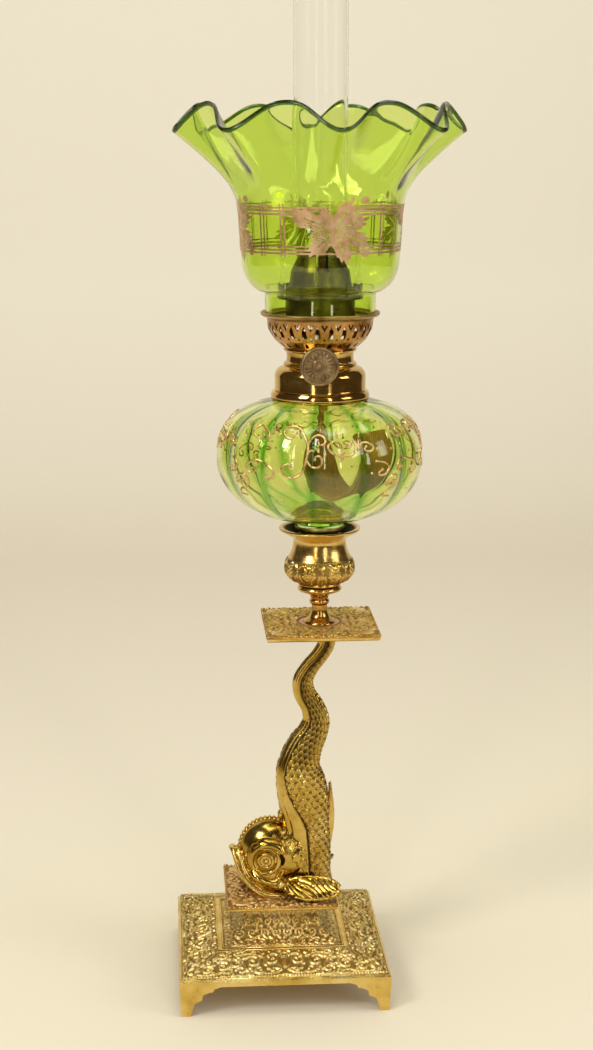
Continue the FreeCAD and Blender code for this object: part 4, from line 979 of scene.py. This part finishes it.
def makeFont():
    steps = 240
    outer = softLine(
        [
            [(0, font["foot"] - 5), (6.2, font["foot"] - 5)], [(6.2, font["foot"] - 5), (6.2, font["foot"])],
            [(6.2, font["foot"]), (15.4, font["foot"])],
            [(15.4, font["foot"]), (16.0, font["foot"] + 2), (15.9, font["bottom"])], font["outer"],
            [(26.0, 369.6), (26.0, font["neckTop"])], [(26.0, font["neckTop"]), (22.8, font["neckTop"])],
            [(22.8, font["neckTop"]), (22.9, 369.0)]],
        steps=8)
    inner = curveThrough(
        [
            (22.9, 369.0), (34.5, 365.2), (46.0, 360.8), (54.0, 354.0), (58.6, 345.4), (60.0, 336.4),
            (58.8, 327.6), (54.0, 318.6), (45.6, 310.0), (34.6, 303.8), (23.0, 300.6), (12.0, 299.8), (0, 299.6)],
        5)
    bm = spinLine(outer + inner[1:], steps)
    for vert in bm.verts:
        r, level = math.hypot(vert.co.x, vert.co.y) / mm, vert.co.z / mm
        if r > 17 and font["bottom"] < level < font["top"]:
            drop = lobeDepth(math.atan2(vert.co.y, vert.co.x), level) * min(1, (r - 17) / 12)
            share = 1 - drop / r
            vert.co.x *= share
            vert.co.y *= share
    bowl = finishPiece(
        bm, "fontBowl", "oil_font", glasses["fontGlass"], ("font_glass",), sharp=50)
    # deeper green painted into the creases as shade, and deeper towards the foot
    spots = np.array([v.co[:] for v in bowl.data.vertices]) / mm
    turn = (np.degrees(np.arctan2(spots[:, 1], spots[:, 0])) - font["crease"]) / (360 / font["lobes"])
    crease = np.exp(-((turn - np.round(turn)) / font["creaseWide"]) ** 2)
    low = np.clip((font["bottom"] + 9 - spots[:, 2]) / 9, 0, 1) * (spots[:, 2] > font["foot"] + 1)
    storeRelief(bowl.data, np.clip(crease * 0.95 + 0.8 * low, 0, 1))
    return bowl


def fontRadius(angle, level):
    line = np.array(curveThrough(font["outer"], 8))
    r = float(np.interp(level, line[:, 1], line[:, 0]))
    return r - lobeDepth(angle, level) * min(1, max(0, (r - 17) / 12))


# each vine runs through places given as (degrees from the front, level)
enamel = {
    "thick": 0.62, "repeat": 90, "front": -94.7,
    "vines": [
        [
            (-33.2, 357.0), (-36.2, 357.5), (-36.5, 356.0), (-34.8, 354.2), (-32.0, 354.0), (-31.5, 355.8),
            (-35.5, 358.2), (-38.8, 360.0), (-41.8, 359.5), (-43.2, 357.5), (-42.0, 355.2), (-39.2, 353.5),
            (-36.8, 353.0)],
        [(-29.0, 356.5), (-28.8, 358.2), (-26.8, 358.5), (-24.2, 357.8), (-23.8, 356.2), (-25.0, 355.5)],
        [
            (-18.0, 356.8), (-16.0, 357.0), (-15.0, 355.8), (-16.8, 354.5), (-19.8, 355.5), (-21.8, 357.8),
            (-20.0, 359.8), (-16.0, 360.8), (-12.0, 359.5), (-8.8, 355.8), (-7.0, 350.8), (-7.0, 345.2),
            (-8.5, 338.8), (-10.5, 334.5), (-13.8, 332.5), (-17.8, 333.0), (-20.5, 336.0), (-20.0, 339.0),
            (-17.0, 340.5), (-15.2, 339.2), (-15.8, 337.5)],
        [
            (-7.0, 349.2), (-6.2, 352.2), (-4.2, 355.2), (-1.2, 356.5), (2.0, 355.8), (3.2, 353.5),
            (2.0, 351.5), (0.0, 351.5), (-1.0, 352.8)],
        [(-6.5, 346.8), (-5.5, 348.0), (-3.8, 347.8)],
        [
            (-7.5, 343.5), (-6.2, 340.5), (-3.8, 338.5), (-1.0, 338.8), (0.8, 341.0), (1.0, 343.5),
            (-0.8, 345.2), (-2.5, 344.5), (-2.8, 343.0)],
        [
            (11.5, 350.5), (12.8, 349.0), (12.8, 347.0), (10.5, 346.0), (7.2, 346.8), (4.8, 349.2),
            (5.2, 351.8), (7.8, 353.2), (10.2, 352.5), (11.5, 350.8)],
        [
            (14.8, 351.2), (15.5, 350.0), (17.0, 350.2), (17.0, 352.0), (18.5, 353.2), (20.2, 351.5),
            (20.2, 348.8), (18.2, 346.0), (14.8, 345.0), (11.2, 345.2), (10.5, 346.0)],
        [(9.8, 346.2), (10.8, 344.8), (12.2, 343.8), (11.5, 342.5)],
        [
            (24.2, 356.8), (22.8, 352.5), (22.0, 347.8), (24.0, 351.0), (27.0, 351.8), (30.2, 350.8),
            (31.2, 348.5), (29.5, 346.8), (27.2, 347.0), (26.2, 348.2), (27.2, 349.5)],
        [
            (-58.0, 341.0), (-52.8, 339.8), (-50.2, 336.8), (-52.2, 333.2), (-55.5, 332.5), (-56.5, 334.2),
            (-54.5, 335.8)],
        [
            (-39.5, 336.0), (-38.0, 336.8), (-38.0, 334.5), (-40.8, 333.2), (-43.2, 335.5), (-42.2, 338.8),
            (-37.2, 340.8), (-32.8, 339.5), (-28.5, 338.0), (-25.5, 335.0), (-26.5, 331.5), (-29.5, 330.2),
            (-31.5, 332.0), (-29.8, 334.0)],
        [
            (-47.8, 326.2), (-45.2, 328.0), (-47.5, 328.5), (-51.0, 326.2), (-51.8, 328.5), (-49.0, 331.0),
            (-45.0, 331.8), (-42.8, 329.2), (-43.0, 326.2), (-46.8, 322.8), (-50.0, 322.2), (-51.5, 319.2),
            (-47.0, 318.8)],],
    "dots": [
        (-47.5, 347.2), (-56.8, 348.0), (-23.2, 347.8), (-30.2, 343.8), (-30.5, 351.0), (-29.8, 352.2),
        (-14.8, 342.8), (-37.8, 348.8), (-22.8, 317.8), (-13.8, 357.5), (-60.5, 334.0)],
    "drops": [(-47.5, 354.8), (0.2, 359.2), (9.8, 357.0), (-0.8, 348.6), (3.0, 346.4)],
}


def onFont(degrees, level, out=0.1):
    angle = math.radians(enamel["front"] + degrees)
    r = fontRadius(angle, level) + out
    return Vector((r * math.cos(angle), r * math.sin(angle), level)) * mm


def makeEnamel():
    bm = bmesh.new()
    one = bmesh.new()
    runs = []
    for vine in enamel["vines"]:
        points = [onFont(x, z) for x, z in curveThrough(vine, 4)]
        last = len(points) - 1
        runs.append((
            points,
            [enamel["thick"] * mm * (0.8 + 0.45 * math.sin(math.pi * k / last)) for k in range(last + 1)]))
        mergeInto(one, blob(points[-1], Vector((0.9, 0.9, 0.9)) * mm, segments=8))
        mergeInto(one, blob(points[0], Vector((0.8, 0.8, 0.8)) * mm, segments=8))
    for x, z in enamel["dots"]:
        mergeInto(one, blob(onFont(x, z), Vector((0.8, 0.8, 0.8)) * mm, segments=8))
    for x, z in enamel["drops"]:
        runs.append(([onFont(x, z - 1.8), onFont(x, z), onFont(x, z + 1.6)], [0.45 * mm, 0.6 * mm, 0.25 * mm]))
    mergeInto(one, rodsAlong(runs, 6))
    mesh = meshFrom(one, "part")
    for k in range(360 // enamel["repeat"]):
        copy = bmesh.new()
        copy.from_mesh(mesh)
        bmesh.ops.rotate(
            copy, verts=copy.verts, cent=(0, 0, 0),
            matrix=Matrix.Rotation(math.radians(enamel["repeat"] * k), 3, "Z"))
        mergeInto(bm, copy)
    bpy.data.meshes.remove(mesh)
    return finishPiece(bm, "enamelScrolls", "oil_font", metals["enamel"], sharp=80)


makeFont()
makeEnamel()
turnedPiece(
    "pegCap",
    [
        [(11.0, 284.1), (14.0, 284.1)], [(14.0, 284.1), (14.1, 285.2), (13.6, 286.2)],
        [(13.6, 286.2), (11.4, 286.6), (11.2, 288.6)], [(11.2, 288.6), (14.8, 289.2)],
        [(14.8, 289.2), (15.4, 290.6), (15.2, 292.4)], [(15.2, 292.4), (8.4, 292.4)],
        [(8.4, 292.4), (8.4, 287.4)], [(8.4, 287.4), (0.2, 287.4)], [(0.2, 287.4), (0.2, 285.8)],
        [(0.2, 285.8), (7.6, 285.8)], [(7.6, 285.8), (7.6, 262.6)], [(7.6, 262.6), (9.6, 262.6)],
        [(9.6, 262.6), (10.9, 284.1)]],
    "oil_font", metals["agedBrass"], ("peg",), soft=0.2)
print("font made")


# ---------------------------------------------------------------- burner

burner = {
    "collar": [
        [(26.6, 369.6), (28.6, 369.6)], [(28.6, 369.6), (29.7, 371.0), (29.8, 373.4), (28.9, 375.4)],
        [(28.9, 375.4), (20.6, 375.45)], [(20.6, 375.45), (20.6, 366.9)], [(20.6, 366.9), (21.7, 366.9)],
        [(21.7, 366.9), (21.7, 374.0)], [(21.7, 374.0), (26.6, 374.0)]],
    "cup": [
        [(20.5, 375.5), (27.2, 375.5)], [(27.2, 375.5), (27.6, 376.0), (27.5, 376.8)],
        [(27.5, 376.8), (27.5, 384.0)],
        [(27.5, 384.0), (27.2, 386.0), (25.6, 388.6), (23.2, 390.0), (21.4, 390.9)],
        [(21.4, 390.9), (19.4, 390.9)], [(19.4, 390.9), (24.6, 388.0), (26.6, 384.2)],
        [(26.6, 384.2), (26.6, 376.4)], [(26.6, 376.4), (20.5, 376.4)]],
    "neck": [
        [(19.4, 390.9), (21.6, 390.9)], [(21.6, 390.9), (22.1, 391.6), (21.6, 392.5)],
        [(21.6, 392.5), (20.4, 393.2)], [(20.4, 393.2), (20.2, 396.0), (20.4, 398.8)],
        [(20.4, 398.8), (21.7, 399.4)], [(21.7, 399.4), (22.2, 400.2), (21.6, 400.9)],
        [(21.6, 400.9), (19.4, 400.9)]],
    "rim": [
        [(30.4, 419.8), (32.0, 419.8)], [(32.0, 419.8), (34.6, 420.2), (35.7, 421.2)],
        [(35.7, 421.2), (35.75, 422.2), (35.3, 422.8)], [(35.3, 422.8), (34.8, 422.6)],
        [(34.8, 422.6), (34.0, 421.2)], [(34.0, 421.2), (30.4, 421.05)]],
}
turnedPiece("collarRing", burner["collar"], "oil_font", metals["turnedBrass"], ("font_collar",))
turnedPiece("burnerCup", burner["cup"], "burner", metals["turnedBrass"], ("burner_cup",))
turnedPiece("burnerNeck", burner["neck"], "burner", metals["turnedBrass"], ("burner_neck",))
turnedPiece(
    "galleryRim", burner["rim"], "burner", metals["agedBrass"], ("gallery_flange",), steps=128)
print("burner made")


# ---------------------------------------------------------------- knob

knobMiddle = nodeMiddle("winder_knob")
knob = {
    "profile": [
        [(0.98, -0.6), (9.6, -0.6)],
        [(9.6, -0.6), (9.9, -1.6), (11.0, -1.2), (11.4, 0.0), (11.0, 1.2), (9.9, 1.6)],
        [(9.9, 1.6), (9.4, 0.6)], [(9.4, 0.6), (4.4, 0.7)], [(4.4, 0.7), (4.0, 1.5), (3.0, 1.7)],
        [(3.0, 1.7), (0.98, 1.7)]],
    "beads": 20, "beadAt": 7.0}


def makeKnob():
    bm = spinLine(softLine(knob["profile"] + [[knob["profile"][-1][-1], knob["profile"][0][0]]], soft=0.2), 96)
    for k in range(knob["beads"]):
        turn = Matrix.Rotation(2 * math.pi * k / knob["beads"], 4, "Z")
        mergeInto(
            bm, blob(turn @ (Vector((knob["beadAt"], 0, 0.7)) * mm), Vector((2.0, 0.55, 0.55)) * mm, turn, 10))
    for k in range(60):
        turn = Matrix.Rotation(2 * math.pi * k / 60, 4, "Z")
        mergeInto(bm, blob(turn @ (Vector((11.1, 0, 0.0)) * mm), Vector((0.5, 0.3, 1.3)) * mm, turn, 8))
    mergeInto(bm, blob(Vector((0, 0, 1.4)) * mm, Vector((1.3, 1.3, 0.9)) * mm))
    bmesh.ops.rotate(bm, verts=bm.verts, cent=(0, 0, 0), matrix=Matrix.Rotation(math.pi / 2, 3, "X"))
    bmesh.ops.translate(bm, verts=bm.verts, vec=Vector(knobMiddle) * mm)
    return finishPiece(bm, "winderWheel", "winder", metals["bronze"], ("winder_knob",), sharp=50)


makeKnob()


# ---------------------------------------------------------------- wick

wick = {
    "width": 30.0, "thick": 2.2,
    "straight": [(0, 457.0), (0, 440.0), (0, 420.0), (0, 400.0), (0, 380.0), (0, 361.4)],
    "tail": [
        (-0.4, 356.1, 0.13), (-0.9, 350.3, 0.4), (-1.3, 343.3, 0.67), (-0.9, 335.8, 0.87), (0.4, 328.2, 1.0),
        (3.1, 320.7, 1.0), (8.0, 314.9, 1.0), (15.0, 312.0, 1.0), (22.1, 311.4, 1.0), (29.2, 314.3, 1.0),
        (35.4, 319.5, 1.0), (40.7, 326.5, 1.0), (43.3, 334.0, 1.0), (44.2, 341.6, 1.0), (42.0, 348.5, 1.0),
        (38.0, 353.4, 1.0)],
    "turn": 45,}


def makeWick():
    line = np.array([(s, z, 0.0) for s, z in wick["straight"]] + curveThrough(wick["tail"], 5))
    aside = Vector((math.cos(math.radians(wick["turn"])), -math.sin(math.radians(wick["turn"])), 0))
    middles = [aside * s + Vector((0, 0, z)) for s, z, done in line]
    last = len(line) - 1
    across = 24
    bm = bmesh.new()
    bmesh.ops.create_grid(bm, x_segments=across, y_segments=last, size=1)
    for vert in bm.verts:
        i = int(round((vert.co.y + 1) / 2 * last))
        along = (middles[min(i + 1, last)] - middles[max(i - 1, 0)]).normalized()
        turn = math.radians(wick["turn"] * line[i][2])
        wide = Vector((math.sin(turn), math.cos(turn), 0))
        wide = (wide - along * wide.dot(along)).normalized()
        vert.co = (middles[i] + wide * (vert.co.x * wick["width"] / 2)) * mm
    bm.normal_update()
    for vert, move in [(vert, vert.normal.copy()) for vert in bm.verts]:
        vert.co += move * wick["thick"] / 2 * mm
    bmesh.ops.solidify(bm, geom=bm.faces[:], thickness=wick["thick"] * mm)
    strip = finishPiece(bm, "wickStrip", "wick_strip", wickCloth, ("wick",), sharp=60)
    length = sum((b - a).length for a, b in zip(middles, middles[1:]))
    return strip, length


strip, wickLength = makeWick()
print("wick made")


# ---------------------------------------------------------------- chimney and shade

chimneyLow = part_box("chimney")[0][2] / mm
chimney = {
    "outer": [
        [(24.3, 0), (24.3, 22.0)],
        [(24.3, 22.0), (24.0, 26.0), (22.4, 30.6), (19.2, 34.8), (16.8, 38.6), (16.1, 42.4)],
        [(16.1, 42.4), (16.1, 233.4)], [(16.1, 233.4), (15.3, 234.0), (14.5, 233.4)]],
    "inner": [
        [(14.5, 233.4), (14.5, 42.2)],
        [(14.5, 42.2), (15.2, 38.0), (17.6, 34.0), (20.8, 29.8), (22.3, 25.6), (22.7, 21.6)],
        [(22.7, 21.6), (22.7, 0)]],
}
turnedPiece(
    "chimneyTube", chimney["outer"] + chimney["inner"], "chimney_glass", glasses["clearGlass"],
    ("chimney",), lift=chimneyLow, soft=0.5, steps=128)

shade = {
    "waves": 8, "crest": -109.3, "rise": 7.5, "draw": 6.2, "roundness": 0.3, "rim": 1.05,
    "outer": [
        (33.2, 421.0), (33.2, 432.6), (34.4, 434.4), (38.4, 436.2), (43.2, 441.0), (46.4, 448.6), (47.4, 458.0),
        (48.2, 470.0), (49.0, 482.0), (51.4, 493.0), (57.0, 503.8), (64.6, 514.0), (73.0, 525.0), (79.0, 532.6),
        (81.0, 535.5)],
    "wall": 2.4,}


def ruffle(angle, level):
    turn = (math.degrees(angle) - shade["crest"]) / (360 / shade["waves"])
    wave = math.cos(2 * math.pi * turn)
    wave += shade["roundness"] * (1 - wave * wave)
    strength = min(1, max(0, (level - 484) / 51.5)) ** 1.7
    return wave, strength


def shadePoint(angle, level, out=0.0):
    line = np.array(curveThrough(shade["outer"], 8))
    r = float(np.interp(level, line[:, 1], line[:, 0])) + out
    wave, strength = ruffle(angle, level)
    r -= shade["draw"] * wave * strength
    return Vector((r * math.cos(angle), r * math.sin(angle), level + shade["rise"] * wave * strength)) * mm


def makeShade():
    outer = [np.array(p) for p in curveThrough(shade["outer"], 6)]
    wall = shade["wall"]
    inner = []
    for i, p in enumerate(outer):
        run = outer[min(i + 1, len(outer) - 1)] - outer[max(i - 1, 0)]
        run = run / np.linalg.norm(run)
        inner.append(p + np.array([-run[1], run[0]]) * wall)
    inner[0] = outer[0] - np.array([wall, 0])
    top = ((outer[-1] + inner[-1]) / 2
           + (outer[-1] - outer[-2]) / np.linalg.norm(outer[-1] - outer[-2]) * wall * 0.55)
    line = [tuple(p) for p in outer] + [tuple(top)] + [tuple(p) for p in inner[::-1]] + [tuple(outer[0])]
    bm = spinLine(line, 240)
    for vert in bm.verts:
        angle = math.atan2(vert.co.y, vert.co.x)
        wave, strength = ruffle(angle, vert.co.z / mm)
        r = math.hypot(vert.co.x, vert.co.y)
        share = 1 - shade["draw"] * mm * wave * strength / r
        vert.co.x *= share
        vert.co.y *= share
        vert.co.z += shade["rise"] * mm * wave * strength
    return finishPiece(
        bm, "shadeBell", "shade_glass", glasses["shadeGlass"], ("shade",), sharp=60)


def makeShadeRim():
    # the fire-polished edge, thicker than the wall, its glass tinted dark as painted shade along the rim
    level = shade["outer"][-1][1] + 0.2
    points = [shadePoint(2 * math.pi * k / 360, level, -0.9) for k in range(360)]
    bm = rodsAlong([(points, [shade["rim"] * mm] * 360)], 10, True)
    return finishPiece(bm, "shadeRim", "shade_glass", glasses["shadedRimGlass"], sharp=80)


# leaves, stripes and bars, in millimetres from the middle of a leaf cluster along the glass and up
gilding = {
    "clusters": 4, "front": -84.8, "level": 473.0, "radius": 43.2, "step": 0.38, "out": 0.14,
    "stripes": [8.6, 10.6, 12.6, -9.4, -11.4, -13.4], "stripe": 0.55, "bars": [26.6, 28.6], "low": -25,
    "high": 23}


def fanLeaf(angle, length, width, spread=0.5, fingers=5):
    # a leaf with pointed fingers round its end
    strokes = [leafStroke(0, 0, angle, length * 0.8, width, 22)]
    for k in range(fingers):
        turn = angle + spread * (2 * k / (fingers - 1) - 1)
        reach = length * (1.0 - 0.28 * abs(2 * k / (fingers - 1) - 1))
        x, y = length * 0.3 * math.cos(angle), length * 0.3 * math.sin(angle)
        strokes.append(taperStroke(x, y, turn, reach - length * 0.22, width * 0.62))
    return strokes


def gildingMask(u, v):
    leaves = (fanLeaf(2.75, 26, 4.6, 0.42) + fanLeaf(2.1, 15, 2.6, 0.4)
              + fanLeaf(1.1, 19, 4.4, 0.5) + fanLeaf(0.35, 19, 3.8, 0.45)
              + fanLeaf(-0.42, 22, 3.6, 0.45) + fanLeaf(-1.22, 20, 4.4, 0.4)
              + fanLeaf(-2.3, 19, 4.2, 0.5) + fanLeaf(-2.85, 14, 2.6, 0.4))
    solid = reliefHeight(u, v, leaves) > 0
    veins = []
    for angle, length in ((2.75, 17), (1.1, 14), (0.35, 13), (-0.42, 15), (-1.22, 14), (-2.3, 13)):
        veins.append(np.column_stack([
            np.linspace(2, length, 20) * math.cos(angle), np.linspace(2, length, 20) * math.sin(angle),
            np.full(20, 0.34)]))
    for k in range(6):
        veins.append(np.column_stack([
            np.linspace(-15, -3.5, 20), np.linspace(4.4 - 1.7 * k, -1.0 - 1.2 * k, 20), np.full(20, 0.3)]))
    solid &= ~(reliefHeight(u, v, veins) > 0)
    apart = np.hypot(u, v * 1.15)
    lines = np.zeros(len(u), bool)
    for level in gilding["stripes"]:
        lines |= (np.abs(v - level) < gilding["stripe"]) & (apart > 15)
    for place in gilding["bars"]:
        lines |= (np.abs(np.abs(u) - place) < gilding["stripe"]) & (v > -15.4) & (v < 14.6)
    buds = [(np.hypot((u - x) / 2.4, (v - y) / 2.0) < 1) for x, y in ((15.5, 16.5), (17.5, -13.5))]
    return solid | lines | buds[0] | buds[1]


def makeGilding():
    quarter = 2 * math.pi * gilding["radius"] / gilding["clusters"]
    tall = gilding["high"] - gilding["low"]
    bm = bmesh.new()
    bmesh.ops.create_grid(
        bm, x_segments=int(quarter / gilding["step"]), y_segments=int(tall / gilding["step"]), size=1)
    spots = np.array([f.calc_center_median()[:2] for f in bm.faces])
    u, v = spots[:, 0] * quarter / 2, gilding["low"] + (spots[:, 1] + 1) / 2 * tall
    keep = gildingMask(u, v)
    faces = list(bm.faces)
    bmesh.ops.delete(bm, geom=[face for face, kept in zip(faces, keep) if not kept], context="FACES")
    mesh = bpy.data.meshes.new("part")
    for vert in bm.verts:
        angle = math.radians(gilding["front"]) + vert.co.x * math.pi / gilding["clusters"]
        vert.co = shadePoint(
            angle, gilding["level"] + gilding["low"] + (vert.co.y + 1) / 2 * tall, gilding["out"])
    bm.to_mesh(mesh)
    bm.free()
    whole = bmesh.new()
    for k in range(gilding["clusters"]):
        copy = bmesh.new()
        copy.from_mesh(mesh)
        bmesh.ops.rotate(
            copy, verts=copy.verts, cent=(0, 0, 0),
            matrix=Matrix.Rotation(2 * math.pi * k / gilding["clusters"], 3, "Z"))
        mergeInto(whole, copy)
    bpy.data.meshes.remove(mesh)
    return finishPiece(whole, "shadeGilding", "shade_glass", metals["gilding"], sharp=80)


makeShade()
makeShadeRim()
makeGilding()
print("glass made")


# ---------------------------------------------------------------- carried nodes

carried = {
    "base_foot": "castBrass", "plinth_plate": "castBrass", "drip_plate": "castBrass", "base_stud": "steel",
    "base_washer": "steel", "base_nut": "steel", "socket_rod": "steel", "socket_nut": "steel",
    "burner_floor": "turnedBrass", "vent_tube": "turnedBrass", "wick_tube": "turnedBrass",
    "spindle_bush": "redBrass", "spindle_bearing": "turnedBrass", "gallery_basket": "redBrass",
    "air_plate": "agedBrass", "chimney_drum": "nearBlackBrass", "deflector_dome": "nearBlackBrass",
    "winder_spindle": "bronze", "winder_cogs": "bronze",}
for node, metalName in carried.items():
    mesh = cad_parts[node].data
    mesh.materials.clear()
    mesh.materials.append(metals[metalName])
for node in ("peg_plaster", "collar_plaster"):
    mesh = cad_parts[node].data
    mesh.materials.clear()
    mesh.materials.append(plaster)


# ---------------------------------------------------------------- floor, light and camera

stageLook = {
    "floor": (0.74, 0.675, 0.54), "wall": (0.83, 0.79, 0.67), "depth": 1.2, "width": 4.0, "height": 2.6,
    "bend": 0.35}


def stageMaterial():
    material, nodes, links, shader, out = newMaterial("paleCloth")
    shader.inputs["Roughness"].default_value = 0.95
    coords = nodes.new("ShaderNodeTexCoord")
    parts = nodes.new("ShaderNodeSeparateXYZ")
    links.new(coords.outputs["Object"], parts.inputs[0])
    # the one cloth is coloured darker on the floor than up the wall: painted shade on the floor
    colour = addRamp(nodes, links, parts.outputs["Z"], [(0.0, stageLook["floor"]), (0.3, stageLook["wall"])])
    links.new(colour, shader.inputs["Base Color"])
    return material


def makeStage():
    bm = bmesh.new()
    bmesh.ops.create_grid(bm, x_segments=8, y_segments=60, size=1)
    depth, bend, height = stageLook["depth"], stageLook["bend"], stageLook["height"]
    run = depth + 1.4
    for vert in bm.verts:
        t = (vert.co.y + 1) / 2 * (run + math.pi / 2 * bend + height)
        x = vert.co.x * stageLook["width"] / 2
        if t < run:
            vert.co = (x, -1.4 + t, 0)
        elif t < run + math.pi / 2 * bend:
            a = (t - run) / bend
            vert.co = (x, depth + bend * math.sin(a), bend * (1 - math.cos(a)))
        else:
            vert.co = (x, depth + bend, bend + t - run - math.pi / 2 * bend)
    smoothFaces(bm)
    mesh = meshFrom(bm, "backdrop")
    floor = bpy.data.objects.new("backdrop", mesh)
    bpy.context.collection.objects.link(floor)
    mesh.materials.append(stageMaterial())


def makeLight(name, place, aim, size, power, colour=(1, 1, 1), tall=None):
    data = bpy.data.lights.new(name, "AREA")
    data.energy = power
    data.size = size
    if tall:
        data.shape = "RECTANGLE"
        data.size_y = tall
    data.color = colour
    lamp = bpy.data.objects.new(name, data)
    bpy.context.collection.objects.link(lamp)
    lamp.location = place
    lamp.rotation_euler = (Vector(aim) - Vector(place)).to_track_quat("-Z", "Y").to_euler()


makeStage()
makeLight("keyLight", (-1.5, -1.3, 1.9), (0, 0, 0.3), 0.7, 26, (1.0, 0.97, 0.92))
makeLight("stripLight", (0.62, -1.75, 0.95), (0, 0, 0.4), 0.16, 5, (1.0, 0.98, 0.95), 1.5)
makeLight("sideStrip", (-0.62, -1.6, 0.85), (0, 0, 0.4), 0.12, 4, (1.0, 0.97, 0.92), 1.4)
makeLight("fillLight", (1.7, -0.9, 1.1), (0, 0, 0.3), 0.8, 9, (1.0, 0.96, 0.90))
makeLight("topLight", (0.1, -0.15, 2.2), (0, 0.0, 0.2), 1.3, 18, (1.0, 0.98, 0.95))

world = bpy.data.worlds.new("studio")
world.use_nodes = True
worldNodes, worldLinks = world.node_tree.nodes, world.node_tree.links
worldNodes["Background"].inputs[0].default_value = (1.0, 0.97, 0.91, 1)
worldNodes["Background"].inputs[1].default_value = 0.42
dim = worldNodes.new("ShaderNodeBackground")
dim.inputs[0].default_value = (0.16, 0.12, 0.08, 1)
dim.inputs[1].default_value = 0.5
lightPath = worldNodes.new("ShaderNodeLightPath")
worldMix = worldNodes.new("ShaderNodeMixShader")
worldLinks.new(lightPath.outputs["Is Glossy Ray"], worldMix.inputs[0])
worldLinks.new(worldNodes["Background"].outputs[0], worldMix.inputs[1])
worldLinks.new(dim.outputs[0], worldMix.inputs[2])
worldLinks.new(worldMix.outputs[0], worldNodes["World Output"].inputs[0])
bpy.context.scene.world = world

camera = {
    "place": (-0.0911, -1.0964, 0.5274), "tilt": 0.211, "turn": -0.07, "focal": 1833.69, "imageHeight": 1050}
lens = bpy.data.cameras.new("viewCamera")
lens.sensor_fit = "VERTICAL"
lens.sensor_height = 24
lens.lens = camera["focal"] * lens.sensor_height / camera["imageHeight"]
lens.clip_end = 20
viewCamera = bpy.data.objects.new("viewCamera", lens)
bpy.context.collection.objects.link(viewCamera)
viewCamera.location = camera["place"]
viewCamera.rotation_euler = (math.pi / 2 - camera["tilt"], 0, camera["turn"])
bpy.context.scene.camera = viewCamera
bpy.context.scene.view_settings.view_transform = "Standard"
print("stage made")

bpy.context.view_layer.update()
